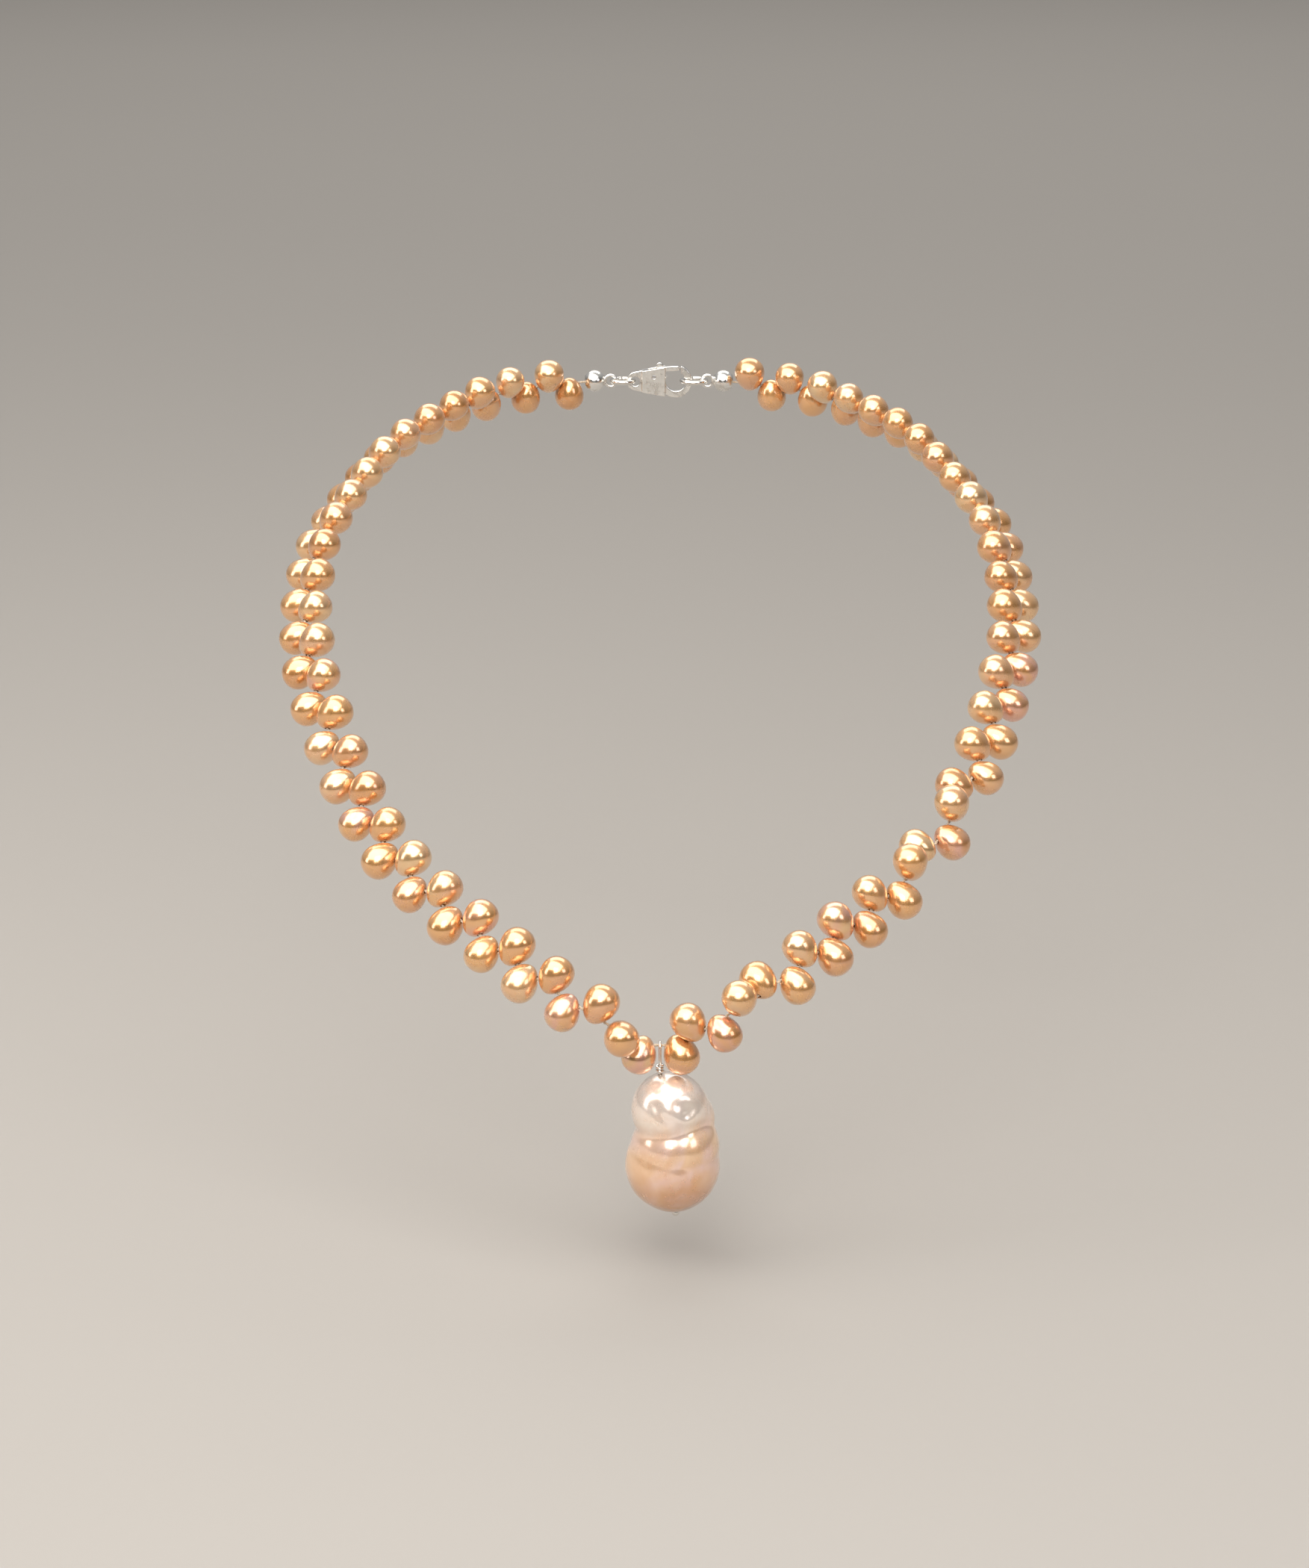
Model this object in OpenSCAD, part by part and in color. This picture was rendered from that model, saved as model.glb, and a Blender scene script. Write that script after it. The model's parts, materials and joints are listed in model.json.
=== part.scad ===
// Pearl necklace: egg-shaped pearls drilled through their narrow ends and strung
// so that they lean to either side of the thread, with a baroque pearl drop at
// the front and a lobster clasp at the nape.
// Millimetres. +Z is up, -Y is the wearer's front, +X is to the right of someone
// facing the wearer. The origin is the middle of the clasp's neck-side face.

/* [Small pearls] */
// Largest radius of a small pearl, before its egg shape is given
pearl_r = 2.6; // [2.4:0.05:2.65]
// Half of a small pearl's length, from its narrow end to its wide end
pearl_half = 3.05; // [2.9:0.05:3.2]
// How much slimmer the narrow end is than the wide end
pearl_taper = 0.22; // [0.2:0.01:0.3]
// Distance from the thread to the middle of a pearl
lean = 1.9; // [1.8:0.05:2.0]
// Radius of the hole drilled through a small pearl
drill_r = 0.4; // [0.35:0.05:0.45]
// Distance between the middles of neighbouring pearls on the left side
left_spacing = 5.46; // [5.34:0.02:5.46]
// Distance between the middles of neighbouring pearls on the right side
right_spacing = 5.34; // [5.34:0.02:5.46]

/* [Thread] */
// Radius of the beading thread
thread_r = 0.22; // [0.18:0.02:0.24]
// Distance from the middle of the thread to the first pearl on each side
centre_gap = 2.6; // [2.6:0.05:2.8]
// Extra bare thread where two stretches of the strand meet
slack = 0.4; // [0.3:0.05:0.5]

/* [Drop] */
// Radius of the headpin's wire
wire_r = 0.26; // [0.22:0.02:0.26]
// Radius of the ends of the headpin's long loop, to the middle of its wire
loop_r = 0.75; // [0.75:0.05:0.85]
// Height of the baroque pearl
drop_h = 21.5; // [20:0.5:22]
// How far the headpin leans to one side below its wraps, in degrees
drop_lean = 6; // [0:1:6]

/* [Clasp] */
// Thickness of the clasp across its housing
clasp_t = 2.4; // [2.4:0.1:2.6]
// Radius of the wire of the jump rings
ring_wire = 0.4; // [0.35:0.05:0.4]
// Radius of the bead tips' cups
cup_r = 1.9; // [1.8:0.05:1.9]

/* [Hidden] */
$fn = 48;

// How each pearl leans, counted from the middle of the front: o outward and
// down, i inward and up, f off the body, j between i and f, h a little past i.
left_leans = "ofioioioioioioioioioioioioioioioioioioioioioioioioio";
right_leans = "oiojhoioioiojhojhoioioioioioioioioioioioioioioioioioi";
lean_angles = [["o", 180], ["i", 0], ["f", 99], ["j", 50], ["h", -28]];
side_gap = 0.6;         // extra room for two pearls that lean almost the same way

// The thread's course along the wearer's right-hand side of the view, from the
// front to the clasp: [x, y, z, slope of the skin under it in degrees].
route = [
    [0, -144, -70, 12], [10, -147, -64, 20], [24, -138, -57, 28],
    [40, -122, -48, 38], [51, -102, -34, 45], [56, -80, -21, 48],
    [53, -55, -11, 48], [43, -28, -4, 45], [28, -6, -1, 30], [11.4, 1.2, 0, 15]
];
neck_y = -70;           // depth of the neck's own axis
hinged = 10;            // pearls on each side that rock on their own
chest_end = 20;         // first pearl past the chest's stretch
shoulder_end = 30;      // first pearl past the shoulder's stretch
neck_end = 41;          // first pearl of the last dozen, behind the neck
thread_gap = 0.35;      // clear thread between two stretches
first_run = 1.5;        // half of the straight thread in each pearl beside the drop
steps = 12;             // points along each span of the route

// Egg outline: a circle's height is half the length, its width is the radius.
outline_step = 18;
function egg(size) = [for (a = [0:outline_step:180])
    [size * pearl_r * sin(a) * (1 - pearl_taper * cos(a)),
     -size * pearl_half * cos(a)]];

function unit(v) = v / norm(v);
function mirrored(p) = [-p.x, p.y, p.z, p[3]];

// The route as a smooth curve, its length so far, and a point at any length.
points = concat([mirrored(route[1])], route,
    [2 * route[len(route) - 1] - route[len(route) - 2]]);
function curve(p, t) = (2 * p[1] + (p[2] - p[0]) * t
    + (2 * p[0] - 5 * p[1] + 4 * p[2] - p[3]) * t * t
    + (3 * p[1] - p[0] - 3 * p[2] + p[3]) * t * t * t) / 2;
function window(k) = [for (i = [k:k + 3]) points[i]];
curve_points = concat(
    [for (k = [0:len(route) - 2], s = [0:steps - 1]) curve(window(k), s / steps)],
    [route[len(route) - 1]]);
function flat(p) = [p.x, p.y, p.z];
function gap_after(i) = i < len(curve_points) - 1
    ? norm(flat(curve_points[i + 1]) - flat(curve_points[i])) : 0;
lengths = [for (i = 0, s = 0; i < len(curve_points); s = s + gap_after(i), i = i + 1) s];
half_length = lengths[len(lengths) - 1];
tables = [for (axis = [0:3])
    [for (i = [0:len(lengths) - 1]) [lengths[i], curve_points[i][axis]]]];
function on_route(s, side) = [side * lookup(s, tables[0]), lookup(s, tables[1]),
    lookup(s, tables[2])];
function skin_slope(s) = lookup(s, tables[3]);

// Where the pearls sit along the thread.
function leans(side) = side < 0 ? left_leans : right_leans;
function spacing(side) = side < 0 ? left_spacing : right_spacing;
function angle_of(letter) = lean_angles[search(letter, lean_angles)[0]][1];
function ends_stretch(k) = k + 1 == hinged || k + 1 == chest_end || k + 1 == shoulder_end;
function step_after(side, k) = k > len(leans(side)) - 2 ? 0
    : let (half_turn = (angle_of(leans(side)[k + 1]) - angle_of(leans(side)[k])) / 2)
      sqrt(pow(spacing(side), 2) - pow(2 * lean * sin(half_turn), 2))
      + (abs(half_turn) < 40 ? side_gap : 0) + (ends_stretch(k) ? slack : 0);
function stations(side) =
    [for (k = 0, s = centre_gap; k < len(leans(side)); s = s + step_after(side, k), k = k + 1) s];
left_stations = stations(-1);
right_stations = stations(1);
function station(side, k) = side < 0 ? left_stations[k] : right_stations[k];
function count(side) = len(leans(side));

// The thread bends midway between two pearls, and runs straight in each.
function bend(side, k) =
    k <= 0 ? on_route(0, side)
    : k >= count(side) ? on_route(half_length, side)
    : on_route((station(side, k - 1) + station(side, k)) / 2, side);
function run(side, s, half) = [for (d = [-half, half]) on_route(s + d, side)];

// A pearl's place: x along the thread, z from the thread into the pearl.
function tilt(side, k) = 5 * sin(137 * k + 40 * side);
function size(side, k) = 0.975 + 0.025 * sin(97 * k + 70 * side);
function place(side, k) =
    let (s = station(side, k),
         ends = k == 0 ? run(side, s, first_run)
             : k == count(side) - 1 ? run(side, s, 1)
             : [bend(side, k), bend(side, k + 1)],
         along = unit(ends[1] - ends[0]),
         mid = (ends[0] + ends[1]) / 2,
         away = unit([mid.x, mid.y - neck_y, 0]),
         slope = skin_slope(s),
         up = away * cos(slope) + [0, 0, sin(slope)],
         skin = unit(up - (up * along) * along),
         inward = side * cross(skin, along),
         turn = angle_of(leans(side)[k]) + tilt(side, k),
         body = inward * cos(turn) + skin * sin(turn),
         across = cross(body, along))
    [[along.x, across.x, body.x, mid.x],
     [along.y, across.y, body.y, mid.y],
     [along.z, across.z, body.z, mid.z],
     [0, 0, 0, 1]];

function hinged_name(side, k) = str(side < 0 ? "pearl_left_" : "pearl_right_", k + 1);

// Drop: heights are measured down from the thread at the front.
front = on_route(0, 1);
loop_drop = loop_r - wire_r - thread_r - 0.05;
loop_straight = 1.6;
loop_end = loop_drop + loop_straight + loop_r;
wrap_r = 1.8 * wire_r;
wrap_pitch = 1.6 * wire_r;
wraps = 3;
wrap_top = loop_end + 0.35;
drop_top = wrap_top + wraps * wrap_pitch + 0.15;
ball_r = 0.62;
drop_bore = wire_r + 0.08;

// Clasp: x runs from its eye to its hook, the middle of its thickness is mid_y.
mid_y = clasp_t / 2;
end_x = 11.4;
hook_x = 2.9;
hook_r = 2.9;
hook_hole_r = 1.75;
hook_t = 1.3;
eye_x = -4.0;
eye_r = 1.7;
eye_hole_x = -4.2;
eye_hole_r = 0.85;
eye_t = 1.0;
pivot = [-0.9, 0.9];
pin_r = 0.35;
hub_r = 0.75;
lever_t = 1.0;
slot_t = 1.2;
tip = [3.25, 2.3];
left_ring_x = -6.4;
left_ring_r = 1.9;
right_ring_x = 6.15;
right_ring_r = 2.15;
tip_loop_r = 1.0;
tip_loop_wire = 0.3;
tip_loop_x = 8.55;

// A wire ring in the XY plane around the origin.
module ring(radius, wire, arc = 360) {
    rotate_extrude(angle = arc) translate([radius, 0]) circle(wire, $fn = 24);
}

module small_pearl(side, k) {
    multmatrix(place(side, k)) difference() {
        translate([0, 0, lean]) rotate_extrude() polygon(egg(size(side, k)));
        rotate([0, 90, 0]) cylinder(r = drill_r, h = 4 * pearl_r, center = true, $fn = 24);
    }
}

module pearl_row(side, first, last) {
    for (k = [first:last]) small_pearl(side, k);
}

// A round thread swept through a list of points, eight sides to a ring.
sides = 8;
function direction(path, i) = unit(path[min(i + 1, len(path) - 1)] - path[max(i - 1, 0)]);
function thread_ring(path, i) =
    let (along = direction(path, i),
         level = unit(cross([0, 0, 1], along)),
         upright = cross(along, level))
    [for (n = [0:sides - 1])
        path[i] + thread_r * (level * cos(n * 360 / sides) + upright * sin(n * 360 / sides))];
module sweep(path) {
    rings = len(path);
    polyhedron(
        points = [for (i = [0:rings - 1]) each thread_ring(path, i)],
        faces = concat(
            [[for (n = [0:sides - 1]) n]],
            [for (i = [0:rings - 2], n = [0:sides - 1]) let (m = (n + 1) % sides)
                each [[i * sides + n, (i + 1) * sides + n, (i + 1) * sides + m],
                      [i * sides + n, (i + 1) * sides + m, i * sides + m]]],
            [[for (n = [sides - 1:-1:0]) (rings - 1) * sides + n]]));
}

// The bends from one to another, the end that meets the next stretch cut short.
function shortened(from, to) = from + unit(to - from) * thread_gap / 2;
function stretch(side, first, last) = concat(
    first > 0 ? [shortened(bend(side, first), bend(side, first + 1))]
        : concat([bend(side, 0)], run(side, centre_gap, first_run)),
    [for (k = [first + 1:last - 1]) bend(side, k)],
    [last < count(side) ? shortened(bend(side, last), bend(side, last - 1)) : bend(side, last)]);
function backwards(list) = [for (i = [len(list) - 1:-1:0]) list[i]];
function tail(list) = [for (i = [1:len(list) - 1]) list[i]];

module thread_front() {
    color("ivory") sweep(concat(backwards(stretch(-1, 0, hinged)), tail(stretch(1, 0, hinged))));
}

module thread_pair(first, last) {
    color("ivory") for (side = [-1, 1]) sweep(stretch(side, first, last));
}

// The nape's thread ends in a knot inside each bead tip.
module thread_nape() {
    color("ivory") for (side = [-1, 1]) union() {
        sweep(stretch(side, shoulder_end, count(side)));
        translate(bend(side, count(side))) sphere(3.4 * thread_r, $fn = 24);
    }
}

// Puts its children below the headpin's bend, z counted down from the pearl's top.
module below_bend() {
    translate(front - [0, 0, drop_top]) rotate([0, -drop_lean, 0]) children();
}

module drop_headpin() {
    color("silver") {
        translate(front - [0, 0, loop_drop]) rotate([0, 90, 0]) rotate([0, 0, 90]) ring(loop_r, wire_r, 180);
        translate(front - [0, 0, loop_drop + loop_straight]) rotate([0, 90, 0])
            rotate([0, 0, -90]) ring(loop_r, wire_r, 180);
        // the straight sides reach a little way into both ends of the loop
        for (y = [-loop_r, loop_r])
            translate(front + [0, y, -loop_drop - loop_straight - 0.1])
                cylinder(r = wire_r - 0.02, h = loop_straight + 0.2, $fn = 24);
        translate(front - [0, 0, drop_top]) cylinder(r = wire_r, h = drop_top - loop_end, $fn = 24);
        for (n = [0:wraps - 1])
            translate(front - [0, 0, wrap_top + wrap_pitch * (n + 0.5)]) ring(wrap_r, wire_r);
        below_bend() {
            translate([0, 0, -drop_h]) cylinder(r = wire_r, h = drop_h, $fn = 24);
            translate([0, 0, -drop_h - 0.55]) sphere(ball_r, $fn = 32);
        }
        translate(front - [0, 0, drop_top]) sphere(wire_r + 0.03, $fn = 24);
    }
}

// The baroque pearl: a broad body, a leaning shoulder and a small foot in one.
module drop_pearl() {
    body_r = 6.95;
    shoulder_r = 6.1;
    foot_r = 5.4;
    color("bisque") below_bend() difference() {
        union() {
            translate([0.3, 0, -shoulder_r]) sphere(shoulder_r);
            translate([-0.3, 0, -drop_h + body_r + 0.6]) sphere(body_r);
            translate([0.3, 0, -drop_h + foot_r]) sphere(foot_r);
        }
        translate([0, 0, -drop_h - 1]) cylinder(r = drop_bore, h = drop_h + 2, $fn = 32);
    }
}

// A cup that hides the knot, with a loop on the clasp's side.
module bead_tip(side) {
    cavity = cup_r - 0.4;
    color("silver") translate([0, mid_y, 0]) rotate([0, 0, 90 + side * 90]) difference() {
        union() {
            translate([-end_x, 0, 0]) sphere(cup_r);
            translate([-tip_loop_x, 0, 0]) rotate([90, 0, 0]) ring(tip_loop_r, tip_loop_wire);
        }
        translate([-end_x, 0, 0]) sphere(cavity);
        translate([-end_x, 0, 0]) rotate([0, -90, 0]) cylinder(r = 0.7, h = 2 * cup_r, $fn = 24);
    }
}

module jump_ring(x, radius) {
    color("silver") translate([x, mid_y, 0]) rotate([0, 0, 93]) ring(radius, ring_wire, 354);
}

// Draws a flat outline upright in XZ, thickness t about the clasp's middle.
module upright_plate(t) {
    translate([0, mid_y + t / 2, 0]) rotate([90, 0, 0]) linear_extrude(t) children();
}

module lever_outline(grow = 0) {
    hull() {
        translate(pivot) circle(hub_r + grow);
        translate([1.0, 2.15]) circle(0.45 + grow);
    }
    hull() {
        translate([1.0, 2.15]) circle(0.45 + grow);
        translate(tip) circle(0.42 + grow);
    }
    translate([0.1, 2.75]) circle(0.6 + grow);
}

// One casting: the eye, the lever's housing and the hook.
module clasp_body() {
    color("silver") difference() {
        union() {
            upright_plate(clasp_t) intersection() {
                hull() {
                    translate([hook_x, 0]) circle(hook_r);
                    translate([eye_x, 0]) circle(eye_r);
                }
                translate([-3.0, -hook_r]) square([4.1, 2 * hook_r]);
            }
            upright_plate(hook_t) intersection() {
                translate([hook_x, 0]) circle(hook_r);
                translate([0.9, -hook_r]) square([5, 2 * hook_r]);
            }
            upright_plate(eye_t) hull() {
                translate([eye_x, 0]) circle(eye_r);
                translate([-2.5, 0]) circle(2.0);
            }
        }
        upright_plate(2 * clasp_t) translate([hook_x + 0.05, 0]) circle(hook_hole_r);
        upright_plate(2 * clasp_t) translate([eye_hole_x, 0]) circle(eye_hole_r);
        // mouth and the slot that the lever swings in
        upright_plate(2 * clasp_t) translate([1.2, 0.9]) square([2.65, 4]);
        upright_plate(slot_t) translate([-1.9, -0.1]) square([3.4, 4]);
        // bore of the pivot pin
        upright_plate(2 * clasp_t) translate(pivot) circle(pin_r, $fn = 32);
    }
}

module clasp_lever() {
    color("silver") difference() {
        upright_plate(lever_t) lever_outline();
        upright_plate(2 * clasp_t) translate(pivot) circle(pin_r + 0.05, $fn = 32);
    }
}

module clasp_pin() {
    color("gray") upright_plate(clasp_t - 0.1) translate(pivot) circle(pin_r, $fn = 32);
}

// A leaf that lies in the slot under the lever.
module clasp_spring() {
    color("gray") upright_plate(0.7)
        polygon([[-1.8, -0.08], [-0.3, -0.08], [0.9, 0.35], [0.86, 0.47], [-0.32, 0.04], [-1.8, 0.04]]);
}

thread_front();
thread_pair(hinged, chest_end);  // thread_chest
thread_pair(chest_end, shoulder_end);  // thread_shoulder
thread_nape();
for (k = [0:hinged - 1], side = [-1, 1])
    color("sandybrown") small_pearl(side, k);
color("sandybrown") pearl_row(-1, hinged, chest_end - 1);  // pearls_left_chest
color("sandybrown") pearl_row(1, hinged, chest_end - 1);  // pearls_right_chest
color("sandybrown") pearl_row(-1, chest_end, shoulder_end - 1);  // pearls_left_shoulder
color("sandybrown") pearl_row(1, chest_end, shoulder_end - 1);  // pearls_right_shoulder
color("sandybrown") pearl_row(-1, shoulder_end, neck_end - 1);  // pearls_left_neck
color("sandybrown") pearl_row(1, shoulder_end, neck_end - 1);  // pearls_right_neck
color("sandybrown") pearl_row(-1, neck_end, count(-1) - 1);  // pearls_left_nape
color("sandybrown") pearl_row(1, neck_end, count(1) - 1);  // pearls_right_nape
drop_headpin();
drop_pearl();
bead_tip(-1);  // bead_tip_left
bead_tip(1);  // bead_tip_right
jump_ring(left_ring_x, left_ring_r);  // jump_ring_left
jump_ring(right_ring_x, right_ring_r);  // jump_ring_right
clasp_body();
clasp_lever();
clasp_pin();
clasp_spring();
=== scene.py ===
"""Finishes and fine shapes of a pearl necklace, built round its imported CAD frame.

The frame is in metres: +Z up, -Y the wearer's front, +X to the right of someone
facing the wearer, origin in the middle of the clasp's neck-side face.  Sizes below
are in millimetres, as in the part's own source, and MM turns them into metres.
"""

import json
import logging
import math
from collections.abc import Callable, Iterator, Sequence
from contextlib import contextmanager
from dataclasses import dataclass, field
from enum import Enum
from functools import cached_property

import bmesh
import bpy
import numpy as np
from mathutils import Matrix, Vector

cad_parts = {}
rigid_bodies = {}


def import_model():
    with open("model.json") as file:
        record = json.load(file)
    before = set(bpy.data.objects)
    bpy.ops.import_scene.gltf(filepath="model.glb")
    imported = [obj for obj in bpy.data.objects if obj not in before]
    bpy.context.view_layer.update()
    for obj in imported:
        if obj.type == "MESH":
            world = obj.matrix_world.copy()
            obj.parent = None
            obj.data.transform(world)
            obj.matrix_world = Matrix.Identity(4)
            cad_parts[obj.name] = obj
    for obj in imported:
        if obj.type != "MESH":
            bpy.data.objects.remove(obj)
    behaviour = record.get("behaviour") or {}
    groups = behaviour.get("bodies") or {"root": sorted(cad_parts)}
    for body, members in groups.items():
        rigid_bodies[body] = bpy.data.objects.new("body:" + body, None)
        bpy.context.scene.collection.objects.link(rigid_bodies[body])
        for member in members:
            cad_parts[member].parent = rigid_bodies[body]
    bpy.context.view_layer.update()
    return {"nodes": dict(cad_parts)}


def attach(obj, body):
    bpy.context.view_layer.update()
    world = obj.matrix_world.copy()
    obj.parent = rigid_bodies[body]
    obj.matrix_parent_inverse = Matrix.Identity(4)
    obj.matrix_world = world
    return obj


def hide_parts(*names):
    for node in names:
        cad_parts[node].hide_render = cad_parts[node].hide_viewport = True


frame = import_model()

MM = 0.001

log = logging.getLogger("pearl_necklace")

Colour = tuple[float, float, float, float]
Point = Vector | np.ndarray


class Side(Enum):
    """The two halves of the strand, seen by someone facing the wearer."""

    LEFT = -1
    RIGHT = 1

    @property
    def word(self) -> str:
        """The side's name as the CAD nodes spell it."""
        return self.name.lower()


class Lean(Enum):
    """The ways a small pearl leans off the thread, in degrees round it."""

    OUTWARD = 180.0
    INWARD = 0.0
    OFF_BODY = 99.0
    ASLANT = 50.0
    PAST_INWARD = -28.0


LEAN_LETTERS = {
    "o": Lean.OUTWARD,
    "i": Lean.INWARD,
    "f": Lean.OFF_BODY,
    "j": Lean.ASLANT,
    "h": Lean.PAST_INWARD,
}


class Slot(Enum):
    """The record's material slots."""

    SMALL_NACRE = "small_nacre"
    DROP_NACRE = "drop_nacre"
    SILK_THREAD = "silk_thread"
    SILVER_WIRE = "silver_wire"
    SILVER_CASTING = "silver_casting"
    SPRING_STEEL = "spring_steel"


# ---------------------------------------------------------------- modelling helpers


def deselect_all() -> None:
    """Leaves nothing selected, because an operator acts on all that is."""
    for obj in bpy.context.view_layer.objects:
        obj.select_set(False)


def make_active(obj: bpy.types.Object) -> None:
    """Selects one object alone and makes it the active one.

    Args:
        obj: The object to work on.
    """
    deselect_all()
    obj.select_set(True)
    bpy.context.view_layer.objects.active = obj


@contextmanager
def editing(obj: bpy.types.Object) -> Iterator[None]:
    """Edit mode on one object, with nothing in it selected.

    Args:
        obj: The mesh object to edit.

    Yields:
        Nothing; the mode is left at the end.
    """
    make_active(obj)
    bpy.ops.object.mode_set(mode="EDIT")
    bpy.ops.mesh.select_mode(type="VERT")
    bpy.ops.mesh.select_all(action="DESELECT")
    try:
        yield
    finally:
        bpy.ops.object.mode_set(mode="OBJECT")


def pick_vertices(obj: bpy.types.Object, wanted: Callable[[Vector], bool]) -> None:
    """Selects the vertices of an object in edit mode by their place.

    Args:
        obj: The object being edited.
        wanted: Says of a vertex's place whether it is selected.
    """
    mesh = bmesh.from_edit_mesh(obj.data)
    for part in (*mesh.faces, *mesh.edges):
        part.select = False
    for vertex in mesh.verts:
        vertex.select = bool(wanted(vertex.co))
    mesh.select_flush_mode()
    bmesh.update_edit_mesh(obj.data)


def pick_faces(obj: bpy.types.Object, wanted: Callable[[Vector], bool]) -> None:
    """Selects the faces of an object in edit mode by their middle.

    Args:
        obj: The object being edited.
        wanted: Says of a face's middle whether it is selected.
    """
    bpy.ops.mesh.select_mode(type="FACE")
    mesh = bmesh.from_edit_mesh(obj.data)
    for face in mesh.faces:
        face.select = bool(wanted(face.calc_center_median()))
    mesh.select_flush_mode()
    bmesh.update_edit_mesh(obj.data)


def finish_modifier(obj: bpy.types.Object, kind: str, **settings: object) -> None:
    """Adds a modifier and applies it at once.

    Args:
        obj: The object to change.
        kind: The modifier's type.
        settings: Its settings by name.
    """
    make_active(obj)
    modifier = obj.modifiers.new(kind.title(), kind)
    for name, value in settings.items():
        setattr(modifier, name, value)
    bpy.ops.object.modifier_apply(modifier=modifier.name)


def settle(obj: bpy.types.Object) -> None:
    """Moves an object's place, turn and size into its mesh.

    Args:
        obj: The object, which ends at the origin.
    """
    make_active(obj)
    bpy.ops.object.transform_apply(location=True, rotation=True, scale=True)


def new_object(name: str, data: bpy.types.ID) -> bpy.types.Object:
    """Puts a new object into the scene.

    Args:
        name: Its name.
        data: Its mesh, curve, lamp or camera.

    Returns:
        The object at the origin.
    """
    obj = bpy.data.objects.new(name, data)
    bpy.context.scene.collection.objects.link(obj)
    return obj


def add_shape(operator: Callable[..., object], **settings: object) -> bpy.types.Object:
    """Adds one of Blender's basic shapes, with its place and turn in its mesh.

    Args:
        operator: The operator that adds the shape.
        settings: The operator's settings by name.

    Returns:
        The shape as an object at the origin.
    """
    operator(**settings)
    shape = bpy.context.view_layer.objects.active
    settle(shape)
    return shape


def combine(obj: bpy.types.Object, tool: bpy.types.Object, operation: str) -> None:
    """Cuts or grows an object with another one, which is used up.

    Args:
        obj: The object to change.
        tool: The object that is cut away or grown in.
        operation: Whether it is a DIFFERENCE or a UNION.
    """
    finish_modifier(obj, "BOOLEAN", operation=operation, object=tool, solver="EXACT")
    bpy.data.objects.remove(tool)


def bevel(obj: bpy.types.Object, width: float, segments: int, angle: float) -> None:
    """Rounds an object's sharp edges.

    Args:
        obj: The object to change.
        width: How wide the rounding is, in millimetres.
        segments: How many faces it has across.
        angle: The angle in radians from which an edge is sharp.
    """
    finish_modifier(
        obj,
        "BEVEL",
        width=width * MM,
        segments=segments,
        limit_method="ANGLE",
        angle_limit=angle,
    )


def wrinkle(obj: bpy.types.Object, clouds: bpy.types.Texture, depth: float) -> None:
    """Makes an object's skin slightly uneven.

    Args:
        obj: The object to change.
        clouds: The texture of the unevenness.
        depth: How deep it is from crest to trough, in the mesh's own units.
    """
    finish_modifier(
        obj,
        "DISPLACE",
        texture=clouds,
        texture_coords="LOCAL",
        strength=depth,
        mid_level=0.5,
    )


def wrinkle_texture(name: str, size: float) -> bpy.types.Texture:
    """Clouds for the uneven skin of a pearl.

    Args:
        name: The texture's name.
        size: The size of its lumps, in the mesh's own units.

    Returns:
        The texture.
    """
    texture = bpy.data.textures.new(name, "CLOUDS")
    texture.noise_scale = size
    texture.noise_depth = 1
    return texture


def rename(obj: bpy.types.Object, name: str) -> None:
    """Gives an object and its mesh the same name.

    Args:
        obj: The object.
        name: The name.
    """
    obj.name = obj.data.name = name


def smooth_by_angle(obj: bpy.types.Object, degrees: float) -> None:
    """Shades an object smooth, apart from its edges sharper than an angle.

    Args:
        obj: The object to shade.
        degrees: The angle from which an edge stays sharp.
    """
    make_active(obj)
    bpy.ops.object.shade_smooth_by_angle(angle=math.radians(degrees))


def recalculate_outside(obj: bpy.types.Object) -> None:
    """Merges doubles and points every face outwards.

    Args:
        obj: A closed mesh object.
    """
    with editing(obj):
        bpy.ops.mesh.select_all(action="SELECT")
        bpy.ops.mesh.remove_doubles(threshold=1e-7)
        bpy.ops.mesh.normals_make_consistent(inside=False)


def join(name: str, pieces: Sequence[bpy.types.Object]) -> bpy.types.Object:
    """Joins objects into one.

    Args:
        name: The joined object's name.
        pieces: The objects, which all become part of the first.

    Returns:
        The joined object.
    """
    deselect_all()
    for piece in pieces:
        piece.select_set(True)
    bpy.context.view_layer.objects.active = pieces[0]
    if len(pieces) > 1:
        bpy.ops.object.join()
    joined = bpy.context.view_layer.objects.active
    rename(joined, name)
    return joined


def wire_along(
    name: str, runs: Sequence[Sequence[Vector]], radius: float, sides: int
) -> bpy.types.Object:
    """A round wire along one or more lines, closed at its ends.

    Args:
        name: The object's name.
        runs: The lines, each a close row of points in metres.
        radius: The wire's radius in metres.
        sides: How many sides the wire's section has.

    Returns:
        The wire as a mesh object at the origin.
    """
    curve = bpy.data.curves.new(name, "CURVE")
    curve.dimensions = "3D"
    curve.twist_mode = "MINIMUM"
    curve.bevel_depth = radius
    curve.bevel_resolution = max(0, sides // 2 - 2)
    curve.use_fill_caps = True
    for run in runs:
        spline = curve.splines.new("POLY")
        spline.points.add(len(run) - 1)
        spline.points.foreach_set("co", [c for p in run for c in (*p, 1.0)])
        spline.use_smooth = True
    make_active(new_object(name, curve))
    bpy.ops.object.convert(target="MESH")
    wire = bpy.context.view_layer.objects.active
    recalculate_outside(wire)
    smooth_by_angle(wire, 50)
    return wire


def curve_point(span: Sequence[Point], t: float) -> Point:
    """A point of the smooth curve that runs through four points.

    Args:
        span: The four points; the curve is read between the middle two.
        t: How far between them it is read, from 0 to 1.

    Returns:
        The point.
    """
    p0, p1, p2, p3 = span
    return (
        p1 * 2
        + (p2 - p0) * t
        + (p0 * 2 - p1 * 5 + p2 * 4 - p3) * t**2
        + (p1 * 3 - p0 - p2 * 3 + p3) * t**3
    ) / 2


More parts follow.
